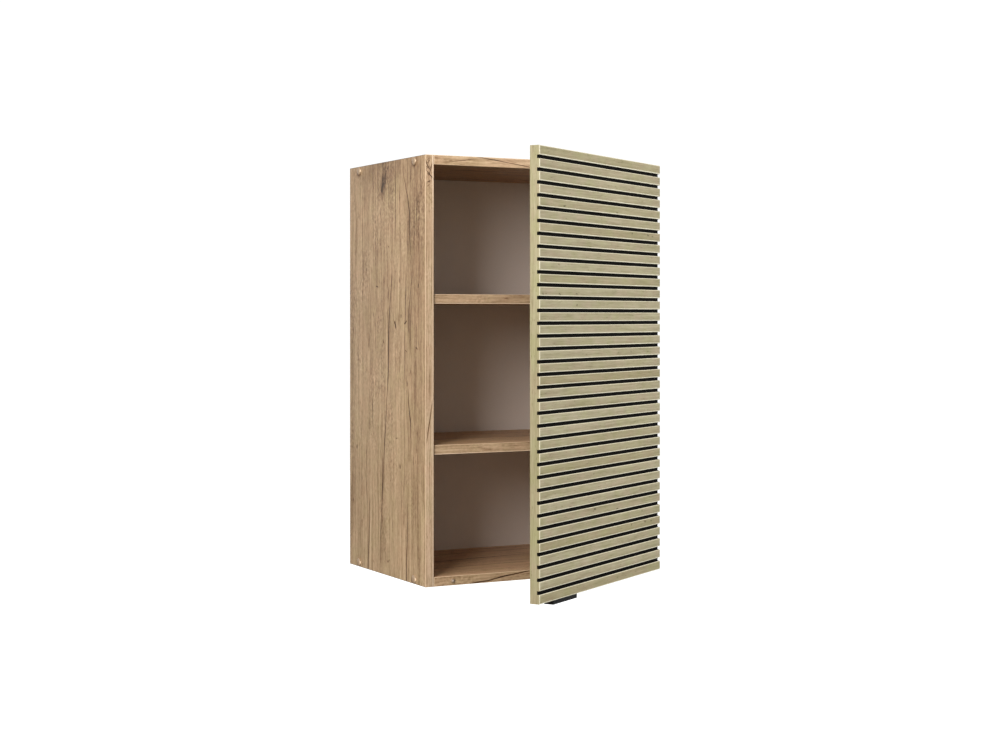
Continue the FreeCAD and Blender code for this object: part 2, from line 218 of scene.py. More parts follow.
def oak(name, grain, seed, plane, level=0.5, tint=(1.0, 1.0, 1.0), dark=(), light=(), soft=(), lines=(), contrast=1.0,
        cracks=1.0, broad=1.0, rough=0.47):
    """Oak decor. grain: the axis the grain runs along (0, 1 or 2). plane: the
    two axes of the face that carries the dark, light and soft marks."""
    T = Tree(name)
    p = T.coord()
    x, y, z = T.sep(p)
    ax = [x, y, z]
    g = ax[grain]
    o0, o1 = [ax[i] for i in range(3) if i != grain]
    s = seed * 3.17

    # the grain wanders slowly and shivers a little
    w1 = T.noise(T.comb(T.math("MULTIPLY_ADD", g, 2.6, s), T.math("MULTIPLY", o0, 8.0), T.math("MULTIPLY", o1, 8.0)), 1.0, 2.0, 0.5)
    w2 = T.noise(T.comb(T.math("MULTIPLY_ADD", g, 22.0, s), T.math("MULTIPLY", o0, 45.0), T.math("MULTIPLY", o1, 45.0)), 1.0, 2.0, 0.55)
    shift = T.math("MULTIPLY_ADD", w1, 0.024, T.math("MULTIPLY_ADD", w2, 0.0052, -0.0146))
    c0 = T.math("ADD", o0, shift)
    c1 = T.math("ADD", o1, shift)

    def field(kg, kc, detail, rough_, off=0.0):
        return T.noise(T.comb(T.math("MULTIPLY_ADD", g, kg, off + s), T.math("MULTIPLY_ADD", c0, kc, off * 1.7 - s), T.math("MULTIPLY", c1, kc)),
                       1.0, detail, rough_)

    planks = field(0.9, 15.0, 2.0, 0.5, 1.3)            # broad bands
    rings = field(1.7, 62.0, 3.0, 0.62, 5.1)            # growth rings
    late = field(1.7, 108.0, 3.0, 0.66, 21.4)           # late wood lines
    dash = field(42.0, 150.0, 2.0, 0.60, 33.9)          # short dashes
    vein = field(5.0, 240.0, 2.0, 0.60, 51.6)           # narrow upright veins
    fibre = field(15.0, 520.0, 4.0, 0.68, 9.7)          # fibre
    pore = field(62.0, 820.0, 1.0, 0.55, 12.4)          # open pores
    grit = T.noise(T.comb(T.math("MULTIPLY_ADD", g, 170.0, s), T.math("MULTIPLY", o0, 230.0), T.math("MULTIPLY", o1, 230.0)), 1.0, 2.0, 0.6)
    area = T.noise(T.comb(T.math("MULTIPLY_ADD", g, 7.0, s * 0.7), T.math("MULTIPLY", o0, 16.0), T.math("MULTIPLY", o1, 16.0)), 1.0, 2.0, 0.5)
    hair = field(1.3, 36.0, 3.0, 0.55, 44.2)            # zero lines make hair cracks

    def add(acc, fac, gain):
        """acc + gain * (fac - 0.5)"""
        return T.math("ADD", acc, T.math("MULTIPLY_ADD", fac, gain, -0.5 * gain))

    k = contrast
    t = T.math("MULTIPLY_ADD", planks, 0.15 * broad, level + 0.05 - 0.075 * broad)
    t = add(t, rings, 0.20 * k)
    t = add(t, late, 0.42 * k)
    t = add(t, vein, 0.60 * k)
    t = add(t, dash, 0.22 * k)
    t = add(t, fibre, 0.55 * k)
    t = add(t, grit, 0.26 * k)
    # latewood turns sharply dark on one side of a ring
    saw = T.math("FRACT", T.math("MULTIPLY_ADD", c0, 46.0, T.math("MULTIPLY", T.math("ADD", rings, c1), 5.0)))
    t = T.math("SUBTRACT", t, T.math("MULTIPLY", T.grey(saw, 0.80, 0.985), T.grey(area, 0.44, 0.66, 0.02, 0.10 * k)))
    # gritty areas, open pores and hair cracks
    gritty = T.math("MULTIPLY", T.grey(area, 0.52, 0.70), T.math("MULTIPLY_ADD", grit, 0.6 * k, -0.30 * k))
    t = T.math("ADD", t, gritty)
    t = T.math("SUBTRACT", t, T.grey(pore, 0.60, 0.74, 0.0, 0.20 * k))
    ridge = T.math("ABSOLUTE", T.math("SUBTRACT", hair, 0.5))
    crack = T.math("MULTIPLY", T.grey(ridge, 0.016, 0.003), T.grey(late, 0.49, 0.60))
    t = T.math("SUBTRACT", t, T.math("MULTIPLY", crack, 0.26 * cracks))
    depth = T.math("MULTIPLY_ADD", fibre, 0.5, T.math("MULTIPLY_ADD", crack, -0.5, T.grey(pore, 0.60, 0.74, 0.5, 0.0)))

    # the drawn marks follow the same shiver as the grain, with ragged edges
    if dark or light or soft or lines:
        rag = T.new("ShaderNodeTexNoise")
        T.put(rag.inputs["Vector"], p)
        rag.inputs["Scale"].default_value = 150.0
        rag.inputs["Detail"].default_value = 3.0
        rag.inputs["Roughness"].default_value = 0.65
        jit = T.vmath("SUBTRACT", rag.outputs["Color"], (0.5, 0.5, 0.5))
        q = T.vmath("ADD", p, T.vmath("MULTIPLY", jit, (0.0040, 0.0040, 0.0040)))
        if soft:
            sm = streak_marks(T, q, plane, soft)
            t = T.math("SUBTRACT", t, T.math("MULTIPLY", sm, T.math("MULTIPLY_ADD", late, 1.6, -0.05)))
        if light:
            lm = streak_marks(T, q, plane, light)
            t = T.math("MULTIPLY_ADD", lm, 0.34, t)
        if dark:
            dm = streak_marks(T, q, plane, dark)
            halo = T.grey(dm, 0.0, 0.25, 0.0, 0.08)
            core = T.math("MULTIPLY", T.grey(dm, 0.06, 0.42), T.math("MULTIPLY_ADD", grit, 1.0, 0.25))
            t = T.math("SUBTRACT", T.math("SUBTRACT", t, halo), T.math("MULTIPLY", core, 0.44))
            depth = T.math("SUBTRACT", depth, core)
        if lines:          # long cracks, unbroken; the left side board also draws its painted cap shadows here
            ql = T.vmath("ADD", p, T.vmath("MULTIPLY", jit, (0.0014, 0.0014, 0.0014)))
            lm = T.grey(streak_marks(T, ql, plane, lines), 0.02, 0.55)
            lm = T.math("MULTIPLY", lm, T.math("MULTIPLY_ADD", grit, 0.7, 0.65))
            t = T.math("SUBTRACT", t, T.math("MULTIPLY", lm, 0.50))
            depth = T.math("SUBTRACT", depth, lm)

    base = T.ramp(T.math("ADD", t, 0.0, clamp=True), WOOD)
    # warm, pinkish and greenish areas
    hue = T.noise(T.vmath("ADD", p, (s, s * 0.3, -s)), 26.0, 3.0, 0.6)
    base = T.mix(1.0, base, T.ramp(hue, [(0.34, (0.98, 1.008, 0.965, 1)), (0.50, (1, 1, 1, 1)), (0.66, (1.018, 0.985, 0.99, 1))]), "MULTIPLY")
    if tint != (1.0, 1.0, 1.0):
        base = T.mix(1.0, base, (tint[0], tint[1], tint[2], 1.0), "MULTIPLY")
    T.put(T.bsdf.inputs["Base Color"], base)
    T.put(T.bsdf.inputs["Roughness"], T.grey(T.math("MULTIPLY_ADD", depth, 0.5, T.math("MULTIPLY", area, 0.5)), 0.2, 0.8, rough + 0.10, rough - 0.05))
    T.bsdf.inputs["Specular IOR Level"].default_value = 0.30
    T.put(T.bsdf.inputs["Normal"], T.bump(depth, 0.30, 0.0004))
    return T.mat


def random_marks(seed, a_range, b_range, along_a, n_crack=5, n_dash=14, n_soft=4):
    """Cracks, dashes and dark areas for a board that has none drawn."""
    rnd = random.Random(seed)
    dark, light, soft = [], [], []
    for i in range(n_crack):
        a = rnd.uniform(*a_range)
        b = rnd.uniform(*b_range)
        base = 0.0 if along_a else 90.0
        ang = base + rnd.uniform(-4.0, 4.0)
        steps = rnd.randint(3, 6)
        step = rnd.uniform(0.016, 0.032)
        wd = rnd.uniform(0.0011, 0.0017)
        for j in range(steps):
            ang += rnd.uniform(-3.0, 3.0)
            r = math.radians(ang)
            dark.append((round(a, 4), round(b, 4), round(step * 0.66, 4), wd, round(ang, 1), round(rnd.uniform(0.4, 0.9), 2)))
            a += math.cos(r) * step
            b += math.sin(r) * step
    for i in range(n_dash):
        base = 0.0 if along_a else 90.0
        ang = base + rnd.uniform(-14.0, 14.0)
        dark.append((round(rnd.uniform(*a_range), 4), round(rnd.uniform(*b_range), 4), round(rnd.uniform(0.003, 0.007), 4),
                     round(rnd.uniform(0.0012, 0.0022), 4), round(ang, 1), round(rnd.uniform(0.45, 0.85), 2)))
    for i in range(n_soft):
        base = 0.0 if along_a else 90.0
        item = (round(rnd.uniform(*a_range), 4), round(rnd.uniform(*b_range), 4), round(rnd.uniform(0.07, 0.15), 4),
                round(rnd.uniform(0.008, 0.016), 4), round(base + rnd.uniform(-3, 3), 1))
        soft.append(item + (round(rnd.uniform(0.15, 0.32), 2),))
        light.append((round(item[0] + rnd.uniform(-0.03, 0.03), 4), round(item[1] + rnd.uniform(-0.03, 0.03), 4), item[2], 0.004, item[4], 0.4))
    return dark, light, soft


# the slats' own tones, counted from the bottom: the decor turns more olive on
# some slats and paler on others
OLIVE, SOFT_OLIVE, DEEP_OLIVE = (0.93, 0.92, 0.85), (0.96, 0.96, 0.91), (0.88, 0.855, 0.765)
PALE, SOFT_PALE, CHALK, EVEN = (1.07, 1.09, 1.13), (1.05, 1.06, 1.08), (1.12, 1.14, 1.20), (1.0, 1.0, 1.0)
SLAT_TONES = [(0, SOFT_OLIVE), (1, PALE), (4, OLIVE), (5, SOFT_PALE), (6, EVEN), (7, PALE), (8, SOFT_PALE), (10, OLIVE),
              (11, EVEN), (12, SOFT_OLIVE), (13, CHALK), (14, PALE), (15, EVEN), (17, DEEP_OLIVE), (18, EVEN), (19, SOFT_PALE),
              (20, EVEN), (21, SOFT_PALE), (22, EVEN), (25, OLIVE), (26, SOFT_PALE), (27, EVEN), (29, OLIVE), (30, EVEN),
              (31, SOFT_OLIVE), (32, EVEN), (35, OLIVE)]


def door_wood(name, tint=(1.0, 1.0, 1.0), marks=(), upright=False):
    """Foil decor of the slats: khaki with a quiet horizontal grain."""
    T = Tree(name)
    p = T.new("ShaderNodeAttribute", attribute_name="door_uvw").outputs["Vector"]
    u, v, w = T.sep(p)     # u along the door's width, v through it, w up
    if upright:            # edge band: its grain runs up the door
        u, v, w = w, u, v
    slat = T.math("FLOOR", T.math("DIVIDE", T.math("SUBTRACT", w, FIRST), PITCH))
    sl = T.math("MULTIPLY", slat, 7.31)
    wander = T.noise(T.comb(T.math("MULTIPLY", u, 6.0), sl, T.math("MULTIPLY", w, 12.0)), 1.0, 2.0, 0.5)
    ww = T.math("ADD", w, T.math("MULTIPLY_ADD", wander, 0.010, -0.005))

    def field(ku, kw, off, detail=3.0, rough_=0.6):
        return T.noise(T.comb(T.math("MULTIPLY_ADD", u, ku, off), T.math("MULTIPLY_ADD", ww, kw, off * 0.37), T.math("MULTIPLY_ADD", v, kw * 0.6, sl)), 1.0, detail, rough_)

    patch = T.noise(T.comb(T.math("MULTIPLY", u, 24.0), T.math("MULTIPLY", w, 34.0), T.math("MULTIPLY_ADD", v, 9.0, T.math("MULTIPLY", sl, 0.6))), 1.0, 2.0, 0.6)
    patch2 = T.noise(T.comb(T.math("MULTIPLY_ADD", u, 38.0, 7.0), T.math("MULTIPLY_ADD", w, 46.0, 3.0), sl), 1.0, 2.0, 0.6)
    band = field(3.2, 120.0, 17.1, 3.0, 0.6)
    streak = field(9.0, 300.0, 3.3, 4.0, 0.65)
    fine = field(34.0, 1100.0, 8.8, 3.0, 0.65)
    speck = field(120.0, 520.0, 14.2, 2.0, 0.6)
    t = T.math("MULTIPLY_ADD", band, 0.42, 0.5 - 0.21)
    t = T.math("ADD", t, T.math("MULTIPLY_ADD", streak, 0.50, -0.25))
    t = T.math("ADD", t, T.math("MULTIPLY_ADD", fine, 0.62, -0.31))
    t = T.math("ADD", t, T.math("MULTIPLY_ADD", patch2, 0.22, -0.11))
    t = T.math("SUBTRACT", t, T.grey(speck, 0.62, 0.76, 0.0, 0.30))
    if marks:
        rag = T.new("ShaderNodeTexNoise")
        T.put(rag.inputs["Vector"], p)
        rag.inputs["Scale"].default_value = 240.0
        rag.inputs["Detail"].default_value = 2.0
        jit = T.vmath("SUBTRACT", rag.outputs["Color"], (0.5, 0.5, 0.5))
        q = T.vmath("ADD", p, T.vmath("MULTIPLY", jit, (0.0045, 0.0045, 0.0045)))
        dm = streak_marks(T, q, (0, 2), marks)
        t = T.math("SUBTRACT", t, T.math("MULTIPLY", T.grey(dm, 0.10, 0.60), 0.42))
    base = T.ramp(T.math("ADD", t, 0.0, clamp=True), [(0.0, lin(78, 72, 46)), (0.22, lin(138, 129, 96)), (0.40, lin(167, 157, 126)),
                                                    (0.50, lin(178, 168, 138)), (0.62, lin(188, 179, 150)), (0.85, lin(206, 198, 170)), (1.0, lin(218, 211, 184))])
    base = T.mix(1.0, base, T.ramp(patch, [(0.32, (0.970, 1.005, 0.915, 1)), (0.49, (1, 1, 1, 1)), (0.66, (1.042, 0.980, 1.035, 1))]), "MULTIPLY")
    if tint != (1.0, 1.0, 1.0):
        base = T.mix(1.0, base, (tint[0], tint[1], tint[2], 1.0), "MULTIPLY")
    if not upright:
        base = T.mix(1.0, base, T.ramp(T.math("MULTIPLY_ADD", slat, 1.0 / 36.0, 1.5 / 36.0), [(i / 36.0, c) for i, c in SLAT_TONES], "CONSTANT"), "MULTIPLY")
    if upright:            # painted shade: the band darkens towards its lower end
        base = T.mix(1.0, base, T.ramp(T.grey(u, 0.05, 0.66), [(0.0, (0.84, 0.84, 0.80, 1)), (1.0, (1, 1, 1, 1))]), "MULTIPLY")
    T.put(T.bsdf.inputs["Base Color"], base)
    T.put(T.bsdf.inputs["Roughness"], T.grey(fine, 0.2, 0.8, 0.42, 0.56))
    T.bsdf.inputs["Specular IOR Level"].default_value = 0.30
    T.put(T.bsdf.inputs["Normal"], T.bump(T.math("MULTIPLY_ADD", fine, 0.6, T.math("MULTIPLY", streak, 0.4)), 0.22, 0.0003))
    return T.mat


def arris(name, colour, attr=None):
    """Rounded board edges in one given colour with fine mottling; the light colours given here paint highlights along
    the arrises.
    """
    T = Tree(name)
    p = T.coord()
    n = T.noise(T.vmath("MULTIPLY", p, (1.0, 1.0, 1.0)), 160.0, 3.0, 0.6)
    n2 = T.noise(p, 24.0, 2.0, 0.5)
    c = T.mix(T.grey(n, 0.3, 0.7), (colour[0] * 0.86, colour[1] * 0.85, colour[2] * 0.82, 1), colour)
    c = T.mix(T.math("MULTIPLY", T.grey(n2, 0.45, 0.65), 0.35), c, (colour[0] * 0.78, colour[1] * 0.75, colour[2] * 0.70, 1))
    T.put(T.bsdf.inputs["Base Color"], c)
    T.put(T.bsdf.inputs["Roughness"], T.grey(n, 0.2, 0.8, 0.34, 0.50))
    T.put(T.bsdf.inputs["Normal"], T.bump(n, 0.12, 0.0002))
    return T.mat


def simple(name, colour, rough, metallic=0.0, grain_scale=400.0, vary=0.12, bump=0.10, brushed=None, spec=None, coat=0.0, dist=0.0002):
    T = Tree(name)
    p = T.coord()
    if brushed:
        p2 = T.vmath("MULTIPLY", p, brushed)
    else:
        p2 = p
    n = T.noise(p2, grain_scale, 3.0, 0.6)
    m = T.noise(p, 18.0, 3.0, 0.55)
    k = 1.0 - vary
    dark = (colour[0] * k, colour[1] * k, colour[2] * k, 1.0)
    c = T.mix(T.grey(n, 0.3, 0.7), dark, colour)
    c = T.mix(T.math("MULTIPLY", T.grey(m, 0.45, 0.7), 0.5), c, dark)
    T.put(T.bsdf.inputs["Base Color"], c)
    T.bsdf.inputs["Metallic"].default_value = metallic
    T.put(T.bsdf.inputs["Roughness"], T.grey(m, 0.25, 0.75, rough - 0.05, rough + 0.07))
    if spec is not None:
        T.bsdf.inputs["Specular IOR Level"].default_value = spec
    T.bsdf.inputs["Coat Weight"].default_value = coat
    T.put(T.bsdf.inputs["Normal"], T.bump(n, bump, dist))
    return T.mat


# ---------------------------------------------------------------- geometry
def new_object(name, bm, mats, body, smooth=True):
    me = bpy.data.meshes.new(name)
    bmesh.ops.recalc_face_normals(bm, faces=bm.faces[:])
    bm.to_mesh(me)
    bm.free()
    for m in mats:
        me.materials.append(m)
    o = bpy.data.objects.new(name, me)
    bpy.context.scene.collection.objects.link(o)
    if smooth:
        for f in me.polygons:
            f.use_smooth = True
        me.set_sharp_from_angle(angle=math.radians(32))
    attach(o, body)
    return o


def board(name, node, mats, body, bevel=0.0006, segs=3, which=None, holes=()):
    """A board with rounded arrises; material 1 goes on the arrises."""
    lo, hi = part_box(node)
    return block(name, lo, hi, mats, body, bevel, segs, which, (node,))


def block(name, lo, hi, mats, body, bevel, segs=3, which=None, nodes=()):
    bm = bmesh.new()
    c = [(a + b) / 2 for a, b in zip(lo, hi)]
    d = [b - a for a, b in zip(lo, hi)]
    bmesh.ops.create_cube(bm, size=1.0, matrix=Matrix.Translation(c) @ Matrix.Diagonal((d[0], d[1], d[2], 1)))
    edges = bm.edges[:] if which is None else [e for e in bm.edges if which(e)]
    r = bmesh.ops.bevel(bm, geom=edges, offset=bevel, segments=segs, profile=0.5, affect="EDGES", clamp_overlap=True)
    if len(mats) > 1:
        for f in r["faces"]:
            f.material_index = 1
    o = new_object(name, bm, mats, body)
    if nodes:
        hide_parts(*nodes)
    return o


def set_material(node, mat):
    o = frame["nodes"][node]
    if o.data.materials:
        for i in range(len(o.data.materials)):
            o.data.materials[i] = mat
    else:
        o.data.materials.append(mat)


# -------------------------------------------------------------- wood marks
# (a, b, half length, half width, angle, weight) on a face, metres and degrees
SIDE_DARK = [
    (-0.2671, 0.6896, 0.0199, 0.0014, -95.4, 0.38), (-0.2462, 0.4853, 0.0095, 0.0014, -85.0, 0.51), (-0.2968, 0.5014, 0.0055, 0.0023, -86.7, 0.74),
    (-0.2197, 0.5126, 0.007, 0.0021, -87.6, 0.51), (-0.2014, 0.4395, 0.0047, 0.0037, -126.5, 0.92), (-0.2031, 0.4347, 0.0042, 0.0037, -90.0, 0.92),
    (-0.2035, 0.4336, 0.0059, 0.0028, -95.9, 0.64), (-0.2269, 0.4512, 0.0049, 0.0022, -81.5, 0.69), (-0.2477, 0.4421, 0.004, 0.002, -26.0, 0.78),
    (-0.2431, 0.4392, 0.005, 0.002, -37.2, 0.78), (-0.1513, 0.4068, 0.0054, 0.0021, -96.7, 0.6), (-0.2476, 0.3916, 0.007, 0.0017, -162.1, 0.46),
    (-0.2902, 0.3971, 0.0066, 0.0017, -155.8, 0.46), (-0.1162, 0.6179, 0.0051, 0.002, -98.0, 0.46), (-0.1371, 0.5764, 0.0048, 0.0018, -94.8, 0.46),
    (-0.1735, 0.5716, 0.0061, 0.0017, -143.1, 0.46), (-0.1246, 0.5029, 0.0079, 0.0016, -165.7, 0.55), (-0.02, 0.473, 0.0322, 0.0026, -91.6, 0.34),
    (-0.0186, 0.4249, 0.029, 0.0026, -84.7, 0.34), (-0.0885, 0.2592, 0.0207, 0.0015, -88.4, 0.46), (-0.1078, 0.4539, 0.0088, 0.0025, -98.3, 0.37),
    (-0.2517, 0.337, 0.006, 0.0023, -95.9, 0.64), (-0.294, 0.2535, 0.0135, 0.0014, -88.9, 0.42), (-0.2094, 0.2414, 0.0073, 0.0015, 178.3, 0.55),
    (-0.1925, 0.0886, 0.018, 0.0014, -90.0, 0.46), (-0.057, 0.0835, 0.0056, 0.0017, -101.3, 0.51), (-0.0568, 0.0763, 0.0058, 0.0017, -76.3, 0.51),
    (-0.017, 0.1184, 0.0059, 0.0018, -97.5, 0.46), (-0.1701, 0.0249, 0.0051, 0.0015, -150.3, 0.55), (-0.1757, 0.0263, 0.0062, 0.0015, 133.5, 0.55),
    (-0.0335, 0.2161, 0.0051, 0.0026, -94.5, 0.74), (-0.2226, 0.1936, 0.0054, 0.0028, -100.0, 0.74), (-0.0425, 0.6322, 0.009, 0.0021, -94.1, 0.55),
    (-0.1091, 0.0171, 0.0059, 0.0016, -144.0, 0.41), (-0.2061, 0.3721, 0.0138, 0.0012, -87.5, 0.34), (-0.2282, 0.1333, 0.0221, 0.0012, -88.7, 0.38),
    (-0.1391, 0.46, 0.0248, 0.0012, -88.8, 0.29), (-0.222, 0.6482, 0.0243, 0.0012, -93.8, 0.34), (-0.1643, 0.7039, 0.0031, 0.0019, -113.5, 0.35),
    (-0.155, 0.6862, 0.0033, 0.0018, -95.3, 0.2), (-0.1463, 0.671, 0.0043, 0.0019, -84.9, 0.36), (-0.1574, 0.6772, 0.0029, 0.002, -92.3, 0.26),
    (-0.1676, 0.7019, 0.0034, 0.0017, -101.6, 0.25), (-0.1598, 0.683, 0.0031, 0.0019, -91.4, 0.23), (-0.1611, 0.6831, 0.0041, 0.0016, -103.3, 0.26),
    (-0.1502, 0.6882, 0.0027, 0.0014, -65.1, 0.33), (-0.1347, 0.6552, 0.0039, 0.0015, -94.6, 0.3), (-0.1543, 0.6826, 0.0032, 0.002, -101.2, 0.25),
    (-0.1466, 0.672, 0.0033, 0.002, -121.8, 0.38), (-0.1695, 0.7085, 0.004, 0.0014, -117.7, 0.24), (-0.1626, 0.6989, 0.0032, 0.002, -90.9, 0.38),
    (-0.1468, 0.6567, 0.004, 0.0018, -92.2, 0.24), (-0.1718, 0.6909, 0.0029, 0.0014, -102.8, 0.19), (-0.1594, 0.686, 0.0033, 0.0019, -86.7, 0.3),
    (-0.1673, 0.7078, 0.0032, 0.0019, -103.7, 0.25), (-0.1445, 0.6759, 0.004, 0.002, -97.9, 0.25), (-0.1631, 0.6901, 0.0031, 0.0019, -90.6, 0.35),
    (-0.1459, 0.6729, 0.0035, 0.0018, -92.2, 0.38), (-0.1432, 0.6696, 0.0038, 0.0015, -119.1, 0.37),
]
SIDE_LINES = [
    (-0.1861, 0.5066, 0.0294, 0.0022, -80.5, 0.35), (-0.1813, 0.4776, 0.0294, 0.0022, -82.2, 0.45), (-0.1773, 0.4484, 0.0294, 0.0022, -82.2, 0.5),
    (-0.174, 0.4192, 0.0294, 0.0022, -87.6, 0.68), (-0.1729, 0.3898, 0.0294, 0.0022, -89.3, 0.9), (-0.1725, 0.3603, 0.0294, 0.0022, -89.3, 0.95),
    (-0.1692, 0.3311, 0.0294, 0.0022, -83.0, 0.91), (-0.1659, 0.3019, 0.0294, 0.0022, -83.6, 0.96), (-0.1626, 0.2726, 0.0294, 0.0022, -83.6, 0.98),
    (-0.1592, 0.2434, 0.0294, 0.0022, -82.1, 0.85), (-0.1552, 0.2142, 0.0294, 0.0022, -83.5, 0.4), (-0.1519, 0.185, 0.0294, 0.0022, -83.5, 0.39),
    (-0.1486, 0.1557, 0.0294, 0.0022, -83.9, 0.38), (-0.1455, 0.1265, 0.0294, 0.0022, -83.9, 0.37), (-0.1425, 0.0972, 0.0294, 0.0022, -84.4, 0.37),
    (-0.1396, 0.0679, 0.0294, 0.0022, -84.4, 0.39), (-0.138, 0.0385, 0.0294, 0.0022, -87.9, 0.4), (-0.1369, 0.0091, 0.0294, 0.0022, -87.9, 0.4),
    (-0.0773, 0.2372, 0.0272, 0.002, -90.0, 0.2), (-0.0772, 0.21, 0.0272, 0.002, -88.1, 0.51), (-0.0763, 0.1827, 0.0272, 0.002, -88.1, 0.58),
    (-0.0759, 0.1555, 0.0272, 0.002, -96.8, 0.64), (-0.0791, 0.1285, 0.0272, 0.002, -96.8, 0.55), (-0.0917, 0.1137, 0.0283, 0.0023, -87.9, 0.9),
    (-0.0905, 0.0854, 0.0283, 0.0023, -85.1, 0.75), (-0.0881, 0.0572, 0.0283, 0.0023, -85.1, 0.79), (-0.0857, 0.029, 0.0283, 0.0023, -85.2, 0.95),
    (-0.0841, 0.0008, 0.0283, 0.0023, -87.4, 1.0), (-0.2521, 0.1389, 0.0286, 0.002, -90.7, 0.25), (-0.2524, 0.1103, 0.0286, 0.002, -90.7, 0.46),
    (-0.252, 0.0817, 0.0286, 0.002, -88.7, 0.64), (-0.2505, 0.0531, 0.0286, 0.002, -86.3, 0.85), (-0.2494, 0.0245, 0.0286, 0.002, -89.0, 0.95),
    (-0.2489, -0.0041, 0.0286, 0.002, -89.0, 0.95), (-0.2035, 0.7233, 0.0301, 0.0018, -89.3, 0.35), (-0.2031, 0.6932, 0.0301, 0.0018, -89.3, 0.57),
    (-0.2031, 0.6631, 0.0301, 0.0018, -90.0, 0.67), (-0.2033, 0.6329, 0.0301, 0.0018, -90.5, 0.64), (-0.2035, 0.6028, 0.0301, 0.0018, -90.5, 0.55),
    (-0.2398, 0.6864, 0.0285, 0.0018, -112.8, 0.3), (-0.2508, 0.6602, 0.0285, 0.0018, -112.8, 0.51), (-0.2593, 0.633, 0.0285, 0.0018, -106.0, 0.62),
    (-0.2629, 0.6049, 0.0285, 0.0018, -93.0, 0.59), (-0.2644, 0.5765, 0.0285, 0.0018, -93.0, 0.5), (-0.2521, 0.7161, 0.0306, 0.0016, -93.2, 0.45),
    (-0.2538, 0.6855, 0.0306, 0.0016, -93.2, 0.35), (-0.2472, 0.5193, 0.0306, 0.0018, -88.5, 0.35), (-0.2464, 0.4887, 0.0306, 0.0018, -88.5, 0.7),
    (-0.246, 0.4581, 0.0306, 0.0018, -89.3, 0.75), (-0.2676, 0.502, 0.0296, 0.0017, -77.9, 0.4), (-0.2614, 0.473, 0.0296, 0.0017, -77.9, 0.54),
    (-0.2596, 0.4435, 0.0296, 0.0017, -87.0, 0.5), (-0.2628, 0.4141, 0.0296, 0.0017, -97.0, 0.35), (-0.2402, 0.407, 0.0299, 0.0017, -89.3, 0.5),
    (-0.2398, 0.3771, 0.0299, 0.0017, -89.3, 0.46), (-0.2394, 0.3472, 0.0299, 0.0017, -89.0, 0.42), (-0.2391, 0.3173, 0.0299, 0.0017, -90.7, 0.4),
    (-0.2394, 0.2874, 0.0299, 0.0017, -90.7, 0.4), (-0.2398, 0.2574, 0.0299, 0.0017, -90.7, 0.4), (-0.2401, 0.2275, 0.0299, 0.0017, -90.5, 0.37),
    (-0.2402, 0.1976, 0.0299, 0.0017, -90.0, 0.42), (-0.2402, 0.1677, 0.0299, 0.0017, -89.3, 0.54), (-0.2398, 0.1378, 0.0299, 0.0017, -89.3, 0.2),
    (-0.2579, 0.3123, 0.0318, 0.002, -96.8, 0.5), (-0.263, 0.281, 0.0318, 0.002, -103.7, 0.88), (-0.267, 0.2496, 0.0318, 0.002, -92.9, 0.52),
    (-0.2648, 0.2179, 0.0318, 0.002, -85.0, 0.3), (-0.1078, 0.3133, 0.0294, 0.0019, -82.8, 0.3), (-0.1042, 0.2841, 0.0294, 0.0019, -93.4, 0.74),
    (-0.106, 0.2548, 0.0294, 0.0019, -93.4, 0.4), (-0.0944, 0.4832, 0.0286, 0.0016, -89.1, 0.45), (-0.0939, 0.4546, 0.0286, 0.0016, -89.1, 0.37),
    (-0.0934, 0.426, 0.0286, 0.0016, -79.3, 0.3), (-0.0881, 0.3979, 0.0286, 0.0016, -79.3, 0.5), (-0.0627, 0.548, 0.0289, 0.0016, -91.6, 0.4),
    (-0.0635, 0.5191, 0.0289, 0.0016, -91.6, 0.44), (-0.0582, 0.4907, 0.0289, 0.0016, -77.8, 0.45), (-0.1202, 0.2115, 0.0265, 0.0015, -89.0, 0.3),
    (-0.1197, 0.185, 0.0265, 0.0015, -89.0, 0.3), (-0.1193, 0.1586, 0.0265, 0.0015, -89.0, 0.3), (-0.2757, 0.6233, 0.0237, 0.0015, -92.5, 0.3),
    (-0.2767, 0.5997, 0.0237, 0.0015, -92.5, 0.3), (-0.2778, 0.576, 0.0237, 0.0015, -92.5, 0.3), (-0.2774, 0.1446, 0.0287, 0.0016, -88.8, 0.3),
    (-0.2768, 0.1159, 0.0287, 0.0016, -88.8, 0.3), (-0.2762, 0.0872, 0.0287, 0.0016, -88.8, 0.3),
]
SIDE_LIGHT = [
    (-0.2081, 0.6593, 0.0515, 0.0016, -90.0, 0.5), (-0.2745, 0.6959, 0.024, 0.0024, -93.7, 0.5), (-0.192, 0.4823, 0.0307, 0.004, -88.0, 0.45),
    (-0.2525, 0.4852, 0.0343, 0.002, -89.1, 0.4), (-0.217, 0.5173, 0.0483, 0.005, -89.3, 0.3), (-0.1887, 0.051, 0.0592, 0.003, -90.0, 0.3),
    (-0.2107, 0.4273, 0.0221, 0.0025, -92.8, 0.35), (-0.0552, 0.6415, 0.0669, 0.004, -88.8, 0.25), (-0.2777, 0.4404, 0.027, 0.003, -95.6, 0.3),
    (-0.1976, 0.7203, 0.044, 0.0019, -89.3, 0.6), (-0.1971, 0.6763, 0.044, 0.0019, -89.3, 0.73), (-0.1964, 0.6324, 0.044, 0.0019, -88.7, 0.77),
    (-0.1952, 0.5884, 0.044, 0.0019, -88.1, 0.65), (-0.1938, 0.5445, 0.044, 0.0019, -88.1, 0.4), (-0.1802, 0.3993, 0.047, 0.0024, -89.0, 0.3),
    (-0.1794, 0.3523, 0.047, 0.0024, -89.0, 0.35), (-0.1755, 0.3055, 0.047, 0.0024, -85.0, 0.3), (-0.098, 0.116, 0.0363, 0.002, -87.5, 0.25),
    (-0.0964, 0.0797, 0.0363, 0.002, -87.5, 0.28), (-0.0947, 0.0435, 0.0363, 0.002, -86.7, 0.3), (-0.0926, 0.0072, 0.0363, 0.002, -86.7, 0.3),
]
